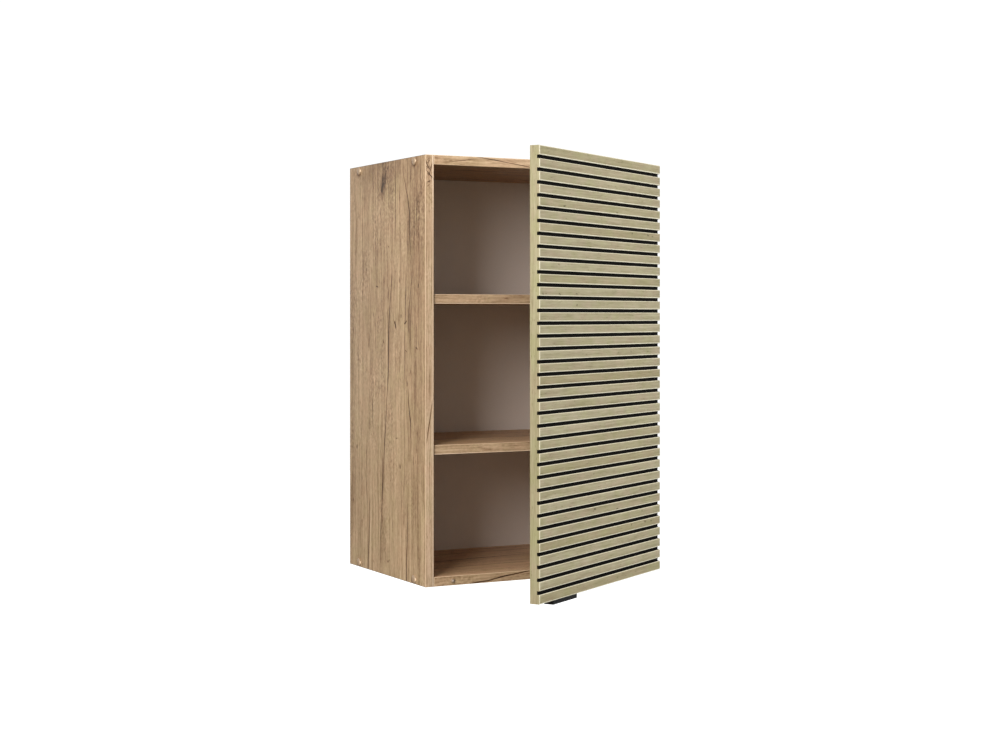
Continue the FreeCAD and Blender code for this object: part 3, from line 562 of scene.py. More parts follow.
SIDE_SOFT = [
    (-0.1478, 0.1626, 0.0634, 0.01, -87.6, 0.3), (-0.1446, 0.0573, 0.0676, 0.01, -88.8, 0.3), (-0.0135, 0.4168, 0.1895, 0.009, -90.4, 0.28),
    (-0.0135, 0.1535, 0.1342, 0.009, -89.4, 0.28), (-0.1491, 0.6785, 0.032, 0.014, -72.0, 0.5), (-0.2585, 0.5954, 0.0653, 0.009, -91.1, 0.22),
    (-0.2575, 0.4403, 0.0477, 0.012, -93.1, 0.22), (-0.1763, 0.4269, 0.0647, 0.008, -89.6, 0.18), (-0.2958, 0.1429, 0.1239, 0.008, -90.0, 0.18),
    (-0.1325, 0.4881, 0.0762, 0.009, -90.0, -0.12), (-0.0518, 0.3722, 0.1327, 0.012, -90.0, -0.1), (-0.214, 0.247, 0.0745, 0.014, -90.0, -0.08),
    (-0.0949, 0.6483, 0.0556, 0.014, -92.9, -0.12),
]
FRONT_DARK = [
    (-0.2123, 0.6827, 0.0038, 0.001, -50.7, 0.74), (-0.2219, 0.0831, 0.0043, 0.0008, -87.7, 0.49), (-0.2206, 0.7123, 0.0025, 0.0009, 31.9, 0.49),
    (-0.2105, 0.6776, 0.0037, 0.0008, 83.4, 0.57), (-0.221, 0.7062, 0.0024, 0.0007, 22.8, 0.5), (-0.2182, 0.7095, 0.0031, 0.0006, 56.2, 0.74),
    (-0.2227, 0.6965, 0.0031, 0.0009, 67.4, 0.64), (-0.217, 0.6979, 0.0043, 0.0008, 39.9, 0.43), (-0.2112, 0.6905, 0.0026, 0.001, 101.1, 0.65),
    (-0.212, 0.6811, 0.003, 0.001, 38.9, 0.66), (-0.2222, 0.6997, 0.0038, 0.001, 138.1, 0.57), (-0.2209, 0.6749, 0.0034, 0.0008, 30.0, 0.71),
    (-0.2169, 0.7003, 0.0027, 0.0007, 21.7, 0.52), (-0.22, 0.6875, 0.0031, 0.0009, 144.8, 0.47), (-0.2183, 0.6756, 0.0037, 0.001, 48.3, 0.66),
    (-0.2196, 0.6686, 0.004, 0.0007, 43.8, 0.55), (-0.2205, 0.6869, 0.0032, 0.0008, 102.4, 0.51), (-0.2223, 0.6719, 0.0024, 0.0008, 70.4, 0.67),
    (-0.2169, 0.6554, 0.004, 0.0006, 51.4, 0.32), (-0.2185, 0.6487, 0.0035, 0.0007, 127.2, 0.29), (-0.2126, 0.6305, 0.0038, 0.0006, 127.2, 0.44),
    (-0.2106, 0.649, 0.0024, 0.0009, 85.3, 0.3), (-0.2156, 0.6449, 0.0029, 0.0006, 59.8, 0.41), (-0.2176, 0.6263, 0.0029, 0.0008, 107.2, 0.39),
    (-0.2184, 0.638, 0.0025, 0.0007, 85.7, 0.31), (-0.2141, 0.6554, 0.0032, 0.0006, 79.1, 0.38),
]
FRONT_LINES = [
    (-0.2103, 0.3181, 0.0103, 0.0014, -99.4, 0.5), (-0.212, 0.3079, 0.0103, 0.0014, -99.4, 0.7), (-0.2137, 0.2978, 0.0103, 0.0014, -98.6, 0.9),
    (-0.2152, 0.2876, 0.0103, 0.0014, -98.6, 0.96), (-0.2168, 0.2774, 0.0103, 0.0014, -99.4, 1.0), (-0.2185, 0.2672, 0.0103, 0.0014, -99.4, 1.0),
    (-0.2201, 0.257, 0.0103, 0.0014, -98.6, 0.88), (-0.2216, 0.2468, 0.0103, 0.0014, -98.6, 0.7), (-0.2246, 0.7122, 0.0124, 0.0011, -71.4, 0.9),
    (-0.2203, 0.7006, 0.0124, 0.0011, -60.4, 0.9), (-0.219, 0.6891, 0.0124, 0.0011, -46.6, 0.8), (-0.2106, 0.6801, 0.0124, 0.0011, -47.5, 0.8),
    (-0.2136, 0.7027, 0.0104, 0.0009, -103.9, 0.6), (-0.2161, 0.6926, 0.0104, 0.0009, -103.9, 0.6), (-0.2183, 0.1453, 0.0107, 0.0007, -89.5, 0.35),
    (-0.2182, 0.1346, 0.0107, 0.0007, -89.5, 0.35), (-0.2181, 0.124, 0.0107, 0.0007, -89.5, 0.35), (-0.218, 0.1133, 0.0107, 0.0007, -89.5, 0.35),
    (-0.2179, 0.1027, 0.0107, 0.0007, -89.5, 0.35), (-0.2178, 0.092, 0.0107, 0.0007, -89.5, 0.35), (-0.2161, 0.4313, 0.0108, 0.0007, -89.9, 0.3),
    (-0.2161, 0.4205, 0.0108, 0.0007, -89.9, 0.3), (-0.216, 0.4097, 0.0108, 0.0007, -89.9, 0.3), (-0.216, 0.3989, 0.0108, 0.0007, -89.9, 0.3),
    (-0.216, 0.3881, 0.0108, 0.0007, -89.9, 0.3), (-0.2137, 0.5312, 0.0113, 0.0007, -89.9, 0.3), (-0.2137, 0.5199, 0.0113, 0.0007, -89.9, 0.3),
    (-0.2137, 0.5086, 0.0113, 0.0007, -89.9, 0.3), (-0.2136, 0.4972, 0.0113, 0.0007, -89.9, 0.3), (-0.2136, 0.4859, 0.0113, 0.0007, -89.9, 0.3),
    (-0.2136, 0.4746, 0.0113, 0.0007, -89.9, 0.3),
]
BOTTOM_LINES = [
    (-0.1291, 0.0018, 0.0168, 0.0016, 4.2, 0.9), (-0.1124, 0.003, 0.0168, 0.0016, 4.2, 0.99), (-0.0958, 0.0057, 0.0168, 0.0016, 10.0, 1.0),
    (-0.0793, 0.0085, 0.0168, 0.0016, 9.5, 1.0), (-0.0627, 0.0106, 0.0168, 0.0016, 6.2, 0.97), (-0.046, 0.0126, 0.0168, 0.0016, 7.8, 0.88),
    (-0.0294, 0.0149, 0.0168, 0.0016, 7.8, 0.7), (-0.1234, -0.0038, 0.019, 0.0008, 0.9, 0.4), (-0.1044, -0.0035, 0.019, 0.0008, 0.9, 0.4),
    (-0.0854, -0.0032, 0.019, 0.0008, 0.9, 0.4), (-0.1703, 0.0188, 0.0188, 0.0007, 0.0, 0.35), (-0.1516, 0.0188, 0.0188, 0.0007, 0.0, 0.35),
    (-0.1328, 0.0188, 0.0188, 0.0007, 0.0, 0.35),
]
BOTTOM_FACE = [
    (-0.1913, -0.1649, 0.0377, 0.0028, 6.5, 0.47), (-0.1537, -0.1606, 0.0377, 0.0028, 6.5, 0.51), (-0.1162, -0.1564, 0.0377, 0.0028, 6.5, 0.54),
    (-0.0787, -0.1521, 0.0377, 0.0028, 6.5, 0.58), (-0.04, -0.1477, 0.0403, 0.0028, 6.7, 0.58), (0.0, -0.143, 0.0403, 0.0028, 6.7, 0.55),
    (0.04, -0.1383, 0.0403, 0.0028, 6.7, 0.52), (0.0775, -0.1353, 0.035, 0.0028, 2.5, 0.47), (0.1125, -0.1338, 0.035, 0.0028, 2.5, 0.42),
    (0.1475, -0.1323, 0.035, 0.0028, 2.5, 0.38), (0.1825, -0.1308, 0.035, 0.0028, 2.5, 0.32), (-0.19, -0.2341, 0.04, 0.0026, 2.5, 0.32),
    (-0.15, -0.2324, 0.04, 0.0026, 2.5, 0.36), (-0.11, -0.2306, 0.04, 0.0026, 2.5, 0.39), (-0.07, -0.2289, 0.04, 0.0026, 2.5, 0.43),
    (-0.0292, -0.2275, 0.0417, 0.0026, 1.4, 0.44), (0.0125, -0.2265, 0.0417, 0.0026, 1.4, 0.41), (0.0542, -0.2255, 0.0417, 0.0026, 1.4, 0.39),
    (0.0958, -0.2245, 0.0417, 0.0026, 1.4, 0.36), (0.1375, -0.2235, 0.0417, 0.0026, 1.4, 0.34), (0.1792, -0.2225, 0.0417, 0.0026, 1.4, 0.31),
    (-0.189, -0.084, 0.042, 0.0032, 2.7, 0.36), (-0.147, -0.082, 0.042, 0.0032, 2.7, 0.38), (-0.105, -0.08, 0.042, 0.0032, 2.7, 0.4),
    (-0.063, -0.078, 0.042, 0.0032, 2.7, 0.42), (-0.021, -0.076, 0.042, 0.0032, 2.7, 0.44), (0.02, -0.0745, 0.04, 0.0032, 1.4, 0.43),
    (0.06, -0.0735, 0.04, 0.0032, 1.4, 0.41), (0.1, -0.0725, 0.04, 0.0032, 1.4, 0.38), (0.14, -0.0715, 0.04, 0.0032, 1.4, 0.34),
    (0.18, -0.0705, 0.04, 0.0032, 1.4, 0.31), (-0.18, -0.2845, 0.04, 0.002, 1.3, 0.3), (-0.14, -0.2836, 0.04, 0.002, 1.3, 0.31),
    (-0.1, -0.2828, 0.04, 0.002, 1.3, 0.31), (-0.06, -0.2818, 0.04, 0.002, 1.3, 0.32), (-0.02, -0.2809, 0.04, 0.002, 1.3, 0.32),
    (0.02, -0.2801, 0.04, 0.002, 1.3, 0.33), (0.06, -0.2792, 0.04, 0.002, 1.3, 0.33), (0.1, -0.2782, 0.04, 0.002, 1.3, 0.34),
    (0.14, -0.2774, 0.04, 0.002, 1.3, 0.34), (0.18, -0.2765, 0.04, 0.002, 1.3, 0.35),
]
SHELF_FACE = [
    (-0.191, -0.1988, 0.0381, 0.0028, 3.6, 0.41), (-0.153, -0.1964, 0.0381, 0.0028, 3.6, 0.43), (-0.115, -0.194, 0.0381, 0.0028, 3.6, 0.45),
    (-0.077, -0.1916, 0.0381, 0.0028, 3.6, 0.47), (-0.039, -0.1892, 0.0381, 0.0028, 3.6, 0.49), (-0.0017, -0.1873, 0.0367, 0.0028, 2.1, 0.48),
    (0.035, -0.186, 0.0367, 0.0028, 2.1, 0.45), (0.0717, -0.1847, 0.0367, 0.0028, 2.1, 0.42), (0.1083, -0.1833, 0.0367, 0.0028, 2.1, 0.38),
    (0.145, -0.182, 0.0367, 0.0028, 2.1, 0.35), (0.1817, -0.1807, 0.0367, 0.0028, 2.1, 0.32), (-0.1895, -0.1045, 0.041, 0.0034, 1.4, 0.35),
    (-0.1485, -0.1035, 0.041, 0.0034, 1.4, 0.36), (-0.1075, -0.1025, 0.041, 0.0034, 1.4, 0.36), (-0.0665, -0.1015, 0.041, 0.0034, 1.4, 0.37),
    (-0.0255, -0.1005, 0.041, 0.0034, 1.4, 0.37), (0.0155, -0.0995, 0.041, 0.0034, 1.4, 0.38), (0.0565, -0.0985, 0.041, 0.0034, 1.4, 0.38),
    (0.0975, -0.0975, 0.041, 0.0034, 1.4, 0.39), (0.1385, -0.0965, 0.041, 0.0034, 1.4, 0.39), (0.1795, -0.0955, 0.041, 0.0034, 1.4, 0.4),
    (-0.18, -0.2677, 0.04, 0.0022, 0.9, 0.35), (-0.14, -0.2671, 0.04, 0.0022, 0.9, 0.34), (-0.1, -0.2665, 0.04, 0.0022, 0.9, 0.34),
    (-0.06, -0.2659, 0.04, 0.0022, 0.9, 0.33), (-0.02, -0.2653, 0.04, 0.0022, 0.9, 0.33), (0.02, -0.2647, 0.04, 0.0022, 0.9, 0.32),
    (0.06, -0.2641, 0.04, 0.0022, 0.9, 0.32), (0.1, -0.2635, 0.04, 0.0022, 0.9, 0.31), (0.14, -0.2629, 0.04, 0.0022, 0.9, 0.31),
    (0.18, -0.2623, 0.04, 0.0022, 0.9, 0.3),
]
TOP_LINES = [
    (-0.1234, 0.719, 0.019, 0.001, -6.5, 0.7), (-0.1046, 0.7169, 0.019, 0.001, -6.5, 0.78), (-0.0858, 0.7144, 0.019, 0.001, -7.7, 0.83),
    (-0.067, 0.7118, 0.019, 0.001, -7.9, 0.8), (-0.0482, 0.7092, 0.019, 0.001, -7.7, 0.71), (-0.0294, 0.7067, 0.019, 0.001, -7.7, 0.6),
    (-0.1796, 0.7091, 0.0189, 0.0008, 8.7, 0.4), (-0.1609, 0.7119, 0.0189, 0.0008, 8.7, 0.4), (-0.1422, 0.7148, 0.0189, 0.0008, 8.7, 0.4),
]
DOOR_DARK = [
    (0.2731, 0.6234, 0.0057, 0.0023, 11.8, 0.8), (0.0835, 0.625, 0.0068, 0.0023, 16.9, 0.8), (0.3327, 0.5906, 0.0036, 0.0021, 17.7, 0.8),
    (0.3961, 0.59, 0.0058, 0.0025, -15.5, 0.8), (0.4147, 0.589, 0.0051, 0.0018, 1.8, 0.8), (0.1619, 0.7143, 0.0055, 0.0016, -11.3, 0.8),
    (0.1264, 0.4671, 0.0045, 0.0025, 10.6, 0.8), (0.0113, 0.4837, 0.0041, 0.0024, -14.4, 0.8), (0.0678, 0.4837, 0.0057, 0.0017, -19.9, 0.8),
    (0.1264, 0.4849, 0.0065, 0.0018, -11.4, 0.8), (0.1909, 0.1309, 0.0069, 0.0025, -8.4, 0.8), (0.2731, 0.1231, 0.0069, 0.0021, 7.1, 0.8),
    (0.33, 0.0909, 0.0042, 0.0025, 7.6, 0.8), (0.3838, 0.0908, 0.0069, 0.0025, -8.0, 0.8), (0.4085, 0.0898, 0.0048, 0.0018, -14.2, 0.8),
    (0.3716, 0.111, 0.0037, 0.0019, 4.1, 0.8), (0.0214, 0.4842, 0.004, 0.0015, 15.9, 0.47), (0.1495, 0.3524, 0.0051, 0.0013, 23.8, 0.36),
    (0.3274, 0.5961, 0.0031, 0.0019, -6.7, 0.49), (0.0237, 0.0613, 0.0035, 0.002, -15.2, 0.54), (0.4012, 0.6612, 0.004, 0.0015, 1.2, 0.54),
    (0.0643, 0.5314, 0.0054, 0.0019, -23.2, 0.59), (0.0574, 0.2583, 0.0048, 0.0019, -8.0, 0.58), (0.2435, 0.2393, 0.004, 0.0014, -21.1, 0.39),
    (0.3026, 0.6978, 0.0035, 0.0013, 24.3, 0.48), (0.1864, 0.189, 0.0048, 0.0019, -2.2, 0.46), (0.0428, 0.6438, 0.0031, 0.0016, 16.9, 0.38),
    (0.32, 0.6664, 0.0049, 0.0019, -19.7, 0.46), (0.0812, 0.596, 0.0039, 0.0016, 25.0, 0.56), (0.4202, 0.3339, 0.0045, 0.0018, -1.0, 0.42),
    (0.1856, 0.1282, 0.0041, 0.002, 23.0, 0.51), (0.2247, 0.2568, 0.0033, 0.0015, 14.1, 0.57), (0.1681, 0.5566, 0.0053, 0.0018, 8.2, 0.54),
    (0.169, 0.502, 0.0038, 0.0016, 13.5, 0.52), (0.1405, 0.6635, 0.0049, 0.0017, -24.4, 0.49), (0.1228, 0.48, 0.0044, 0.0019, 7.4, 0.55),
    (0.1626, 0.4615, 0.0052, 0.0019, -7.5, 0.56), (0.3767, 0.4912, 0.0059, 0.002, 0.9, 0.48),
]


# -------------------------------------------------------------- materials
# painted shadow: a soft dark round spot on the left side board behind and below each cover cap, drawn with the crack
# lines
CAP_PAINTED_SHADOW = [(y + 0.0036, z - 0.0030, 0.0116, 0.0116, 0.0, 0.55) for y in (-0.0440, -0.2810) for z in (0.008, 0.712)]
# painted highlight along the rounded front edges of the carcass and shelf bands
edge_painted_highlight = arris("oak_arris", lin(237, 207, 171))
# painted shade on the inner arrises of the side bands
edge_shade = arris("oak_arris_shade", lin(104, 80, 58))
# painted highlight line near the inner edge of the side bands and on the lower edge of the shelf bands
edge_inner_painted_highlight = arris("oak_arris_inner_painted_highlight", lin(238, 210, 180))
edge_soft = arris("oak_arris_plain", lin(186, 158, 128))
edge_dark = arris("oak_arris_dark", lin(98, 76, 54))
rd = random_marks(11, (-0.29, -0.03), (0.03, 0.69), False)
# the last four soft marks darken the board along its front edge and near its top, and lighten its lower part as painted
# light
oak_left = oak("oak_side_left", 2, 1.0, (1, 2), 0.505, dark=SIDE_DARK, light=SIDE_LIGHT, lines=SIDE_LINES + CAP_PAINTED_SHADOW,
               soft=SIDE_SOFT + [(-0.285, 0.36, 0.50, 0.045, 90.0, 0.17), (-0.288, 0.63, 0.20, 0.055, 90.0, 0.16), (-0.15, -0.06, 0.52, 0.44, 90.0, -0.16), (-0.15, 0.715, 0.16, 0.07, 0.0, 0.24)])
oak_right = oak("oak_side_right", 2, 2.3, (1, 2), 0.50, dark=rd[0], light=rd[1], soft=rd[2])
rd = random_marks(12, (-0.20, 0.20), (-0.31, -0.02), True, 4, 10, 3)
oak_top = oak("oak_top", 0, 3.1, (0, 1), 0.46, (1.05, 0.98, 0.97), dark=rd[0], light=rd[1], soft=rd[2])
rd = random_marks(14, (-0.20, 0.20), (-0.31, -0.02), True, 4, 10, 3)
# the last two soft marks paint shade over the left half of the bottom board and light over its right half
oak_bottom = oak("oak_bottom", 0, 4.4, (0, 1), 0.67, (1.05, 0.96, 0.96), dark=rd[0], light=rd[1], lines=BOTTOM_FACE,
                 soft=rd[2] + [(-0.14, -0.15, 0.13, 0.40, 0.0, 0.11), (0.14, -0.15, 0.26, 0.50, 0.0, -0.14)])
rd = random_marks(15, (-0.20, 0.20), (-0.31, -0.02), True, 3, 8, 3)
oak_shelf_u = oak("oak_shelf_upper", 0, 5.2, (0, 1), 0.60, (1.05, 0.96, 0.95), dark=rd[0], light=rd[1], soft=rd[2], lines=SHELF_FACE)
rd = random_marks(16, (-0.20, 0.20), (-0.31, -0.02), True, 3, 8, 3)
oak_shelf_l = oak("oak_shelf_lower", 0, 6.6, (0, 1), 0.66, (1.05, 0.96, 0.95), dark=rd[0], light=rd[1], soft=rd[2], lines=SHELF_FACE)
band_l = oak("oak_band_left", 2, 7.4, (0, 2), 0.66, dark=FRONT_DARK, lines=FRONT_LINES, broad=0.2, tint=(1.0, 1.0, 1.09),
             soft=[(-0.217, 0.74, 0.28, 0.2, 90.0, 0.13), (-0.217, 0.26, 0.36, 0.3, 90.0, -0.11)])
band_r = oak("oak_band_right", 2, 9.6, (0, 2), 0.58, broad=0.6)
band_t = oak("oak_band_top", 0, 8.9, (0, 2), 0.54, lines=TOP_LINES, broad=0.6, tint=(1.0, 1.0, 1.05))
band_b = oak("oak_band_bottom", 0, 10.7, (0, 2), 0.57, lines=BOTTOM_LINES, broad=0.6, tint=(1.0, 1.0, 1.04))
band_su = oak("oak_band_shelf_upper", 0, 12.2, (0, 2), 0.52, broad=0.5, tint=(1.0, 1.0, 1.07))
band_sl = oak("oak_band_shelf_lower", 0, 13.8, (0, 2), 0.565, broad=0.5, tint=(1.0, 1.0, 1.07))
slat_mat = door_wood("door_decor", (0.825, 0.81, 0.735), marks=DOOR_DARK)
door_edge = door_wood("door_edge_band", (0.97, 0.96, 0.86), upright=True)
# painted highlight along the slats' rounded arrises and the door's free front edge
slat_arris_painted_highlight = arris("door_arris", lin(228, 219, 189))
# painted highlight on each slat's lower arris and the narrow strip above it
slat_low_painted_highlight = arris("door_arris_low_painted_highlight", lin(255, 250, 224))
groove_mat = simple("groove_black", lin(21, 19, 16), 0.75, 0.0, 300.0, 0.35, 0.2, spec=0.06)
back_mat = simple("back_board", lin(230, 219, 212), 0.62, 0.0, 900.0, 0.06, 0.08)
pull_mat = simple("pull_black", lin(10, 10, 11), 0.40, 0.0, 700.0, 0.25, 0.15, (0.05, 1, 1), spec=0.30)


def cap_plastic():
    """Tan cover caps: glossy top, with painted shade on faces turned to the rear and downwards and a painted highlight
    on the front-facing rim.
    """
    T = Tree("cap_plastic")
    p = T.coord()
    n = T.noise(p, 700.0, 3.0, 0.6)
    m = T.noise(p, 60.0, 2.0, 0.5)
    c = T.mix(T.grey(n, 0.3, 0.7), lin(164, 136, 106), lin(180, 151, 121))
    c = T.mix(T.math("MULTIPLY", T.grey(m, 0.45, 0.7), 0.3), c, lin(156, 128, 98))
    nrm = T.new("ShaderNodeNewGeometry").outputs["Normal"]
    nx, ny, nz = T.sep(nrm)
    # painted shade: faces turning to the rear and downwards get a darker brown
    side = T.math("ADD", T.math("MULTIPLY", ny, 0.74), T.math("MULTIPLY", nz, -0.66))
    c = T.mix(T.grey(side, 0.05, 0.30, 0.0, 0.65), c, lin(112, 86, 60))
    # painted highlight: a pale spot on the front-facing rim near mid height
    painted_rim_glint = T.math("MULTIPLY", T.grey(ny, -0.24, -0.48), T.grey(T.math("ABSOLUTE", T.math("SUBTRACT", nz, 0.04)), 0.36, 0.12))
    c = T.mix(T.math("MULTIPLY", painted_rim_glint, 0.85), c, lin(255, 226, 190))
    T.put(T.bsdf.inputs["Base Color"], c)
    T.put(T.bsdf.inputs["Roughness"], T.grey(n, 0.2, 0.8, 0.20, 0.32))
    T.bsdf.inputs["Specular IOR Level"].default_value = 0.6
    T.put(T.bsdf.inputs["Normal"], T.bump(n, 0.06, 0.0002))
    return T.mat


cap_mat = cap_plastic()
beech_mat = simple("beech", lin(205, 170, 125), 0.6, 0.0, 300.0, 0.15, 0.3, (0.05, 1, 1))
white_plastic = simple("hanger_plastic", lin(232, 231, 226), 0.42, 0.0, 700.0, 0.05, 0.10)
zinc_mat = simple("zinc", lin(200, 202, 204), 0.40, 0.65, 900.0, 0.15, 0.12)
nickel_mat = simple("nickel", lin(214, 211, 206), 0.30, 0.65, 700.0, 0.10, 0.06, (1, 0.08, 1))


def clear_rubber():
    """Clear bumper, painted with the board's oak tone in place of the wood seen through it, with a painted highlight
    spot and a painted shade spot.
    """
    T = Tree("bumper_clear")
    p = T.coord()
    lo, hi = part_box("door_bumper")
    x, y, z = T.sep(p)
    n = T.noise(p, 500.0, 2.0, 0.5)

    def spot(dx, dz, rad):
        q = T.comb(T.math("SUBTRACT", x, (lo[0] + hi[0]) / 2 + dx), 0.0, T.math("SUBTRACT", z, (lo[2] + hi[2]) / 2 + dz))
        m = T.new("ShaderNodeVectorMath", operation="LENGTH")
        T.put(m.inputs[0], q)
        return T.grey(m.outputs["Value"], rad, rad * 0.35)

    c = T.mix(T.grey(n, 0.3, 0.7), lin(166, 138, 108), lin(184, 156, 126))
    # painted shade: a grey spot beside the middle
    c = T.mix(spot(0.0014, -0.0006, 0.0026), c, lin(128, 114, 100))
    # painted highlight: a pale spot near the middle
    c = T.mix(spot(-0.0006, 0.0002, 0.0020), c, lin(232, 212, 196))
    T.put(T.bsdf.inputs["Base Color"], c)
    T.put(T.bsdf.inputs["Roughness"], T.grey(n, 0.2, 0.8, 0.10, 0.22))
    T.bsdf.inputs["Transmission Weight"].default_value = 0.12
    T.bsdf.inputs["IOR"].default_value = 1.42
    T.put(T.bsdf.inputs["Normal"], T.bump(n, 0.05, 0.0002))
    return T.mat


bumper_mat = clear_rubber()

# ----------------------------------------------------------------- carcass
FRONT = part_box("carcass_edge_bands")[0][1]


def not_front(e):
    return not all(v.co.y < FRONT + 0.0012 for v in e.verts)


board("side_left", "side_panel_left", [oak_left, edge_dark], "carcass", 0.0007, 2, not_front)
board("side_right", "side_panel_right", [oak_right, edge_dark], "carcass", 0.0007, 2, not_front)
board("top_board", "top_panel", [oak_top, edge_soft], "carcass", 0.0004, 2, not_front)
board("bottom_board", "bottom_panel", [oak_bottom, edge_soft], "carcass", 0.0004, 2, not_front)
for nm, node, m in (("shelf_up", "shelf_upper", oak_shelf_u), ("shelf_low", "shelf_lower", oak_shelf_l)):
    lo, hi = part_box(node)
    board(nm, node, [m, edge_soft], "carcass", 0.0004, 2, lambda e, y=lo[1]: not all(v.co.y < y + 0.0004 for v in e.verts))

blo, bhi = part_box("carcass_edge_bands")
TB = 0.016
BT = 0.0008
bands = [
    ("band_left", (blo[0], blo[1], blo[2]), (blo[0] + TB, blo[1] + BT, bhi[2]), band_l),
    ("band_right", (bhi[0] - TB, blo[1], blo[2]), (bhi[0], blo[1] + BT, bhi[2]), band_r),
    ("band_top", (blo[0] + TB, blo[1], bhi[2] - TB), (bhi[0] - TB, blo[1] + BT, bhi[2]), band_t),
    ("band_bottom", (blo[0] + TB, blo[1], blo[2]), (bhi[0] - TB, blo[1] + BT, blo[2] + TB), band_b),
]


def is_front_edge(y):
    return lambda e: all(v.co.y < y + 0.0002 for v in e.verts)


def stripe(o, axis, a, b, index):
    """Cut the front face of a band at two positions and give the strip between them its own material."""
    bm = bmesh.new()
    bm.from_mesh(o.data)
    for pos in (a, b):
        co, no = [0.0, 0.0, 0.0], [0.0, 0.0, 0.0]
        co[axis], no[axis] = pos, 1.0
        bmesh.ops.bisect_plane(bm, geom=bm.verts[:] + bm.edges[:] + bm.faces[:], plane_co=co, plane_no=no)
    bm.normal_update()
    for f in bm.faces:
        if f.normal.y < -0.9 and a < f.calc_center_median()[axis] < b:
            f.material_index = index
    bm.to_mesh(o.data)
    bm.free()


for nm, lo, hi, m in bands:
    o = block(nm, lo, hi, [m, edge_painted_highlight, edge_shade, edge_inner_painted_highlight], "carcass", 0.0007, 3, is_front_edge(lo[1]))
    for f in o.data.polygons:          # arris on the inner side of a side board: painted shade
        inward = f.normal.x if nm == "band_left" else -f.normal.x if nm == "band_right" else 0.0
        if f.material_index == 1 and inward > 0.2:
            f.material_index = 2
    # painted highlight line on the band's front, near its inner edge
    if nm == "band_left":
        stripe(o, 0, hi[0] - 0.0031, hi[0] - 0.0014, 3)
    elif nm == "band_right":
        stripe(o, 0, lo[0] + 0.0014, lo[0] + 0.0031, 3)
    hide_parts("carcass_edge_bands")
slo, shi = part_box("shelf_edge_bands")
for nm, node, m in (("shelf_band_up", "shelf_upper", band_su), ("shelf_band_low", "shelf_lower", band_sl)):
    lo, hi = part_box(node)
    o = block(nm, (lo[0], slo[1], lo[2]), (hi[0], slo[1] + BT, hi[2]), [m, edge_painted_highlight, edge_inner_painted_highlight], "carcass", 0.0007, 3, is_front_edge(slo[1]))
    for f in o.data.polygons:          # lower arris: painted highlight
        if f.material_index == 1 and f.normal.z < -0.2:
            f.material_index = 2
    # painted highlight strip on the front just above the lower arris
    stripe(o, 2, lo[2] + 0.0007, lo[2] + 0.0016, 2)
    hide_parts("shelf_edge_bands")

# --------------------------------------------------------------- cover caps
CAP_PROFILE = [(0.0074, -0.0002), (0.0074, 0.0006), (0.0073, 0.0010), (0.0070, 0.00145), (0.0063, 0.0018), (0.0052, 0.00212),
               (0.0038, 0.00238), (0.0020, 0.00255), (0.0, 0.0026)]
clo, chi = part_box("screw_cover_caps")
side_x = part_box("side_panel_right")[1][0]
n_cap = 0
for sx in (-1, 1):
    for cy in (clo[1] + 0.0069, chi[1] - 0.0069):
        for cz in (clo[2] + 0.0069, chi[2] - 0.0069):
            n_cap += 1
            bm = bmesh.new()
            count = 40
            rings = []
            for rr, hh in CAP_PROFILE[:-1]:
                rings.append([bm.verts.new((sx * (side_x + hh), cy + rr * math.cos(2 * math.pi * i / count), cz + rr * math.sin(2 * math.pi * i / count)))
                              for i in range(count)])
            tip = bm.verts.new((sx * (side_x + CAP_PROFILE[-1][1]), cy, cz))
            for ra, rb in zip(rings[:-1], rings[1:]):
                for i in range(count):
                    bm.faces.new((ra[i], ra[(i + 1) % count], rb[(i + 1) % count], rb[i]))
            for i in range(count):
                bm.faces.new((rings[-1][i], rings[-1][(i + 1) % count], tip))
            bm.faces.new(rings[0])
            cap = new_object("cap_%d" % n_cap, bm, [cap_mat], "carcass")
            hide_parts("screw_cover_caps")

# ------------------------------------------------------------------- door
swing = [j for j in frame["record"]["behaviour"]["joints"] if j["name"] == "door_swing"][0]
PX, PY = swing["pos_m"][0], swing["pos_m"][1]
CLOSED = math.radians(swing["range_deg"][0])          # from the stored pose to closed
TO_REST = Matrix.Translation((PX, PY, 0)) @ Matrix.Rotation(-CLOSED, 4, "Z") @ Matrix.Translation((-PX, -PY, 0))

dlo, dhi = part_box("door_panel")
DZ0, DZ1 = dlo[2], dhi[2]
DX1 = PX + 0.007          # hinge edge, closed
DX0 = DX1 - 0.446
DYB = PY + 0.008          # back face, closed
DYF = DYB - 0.017


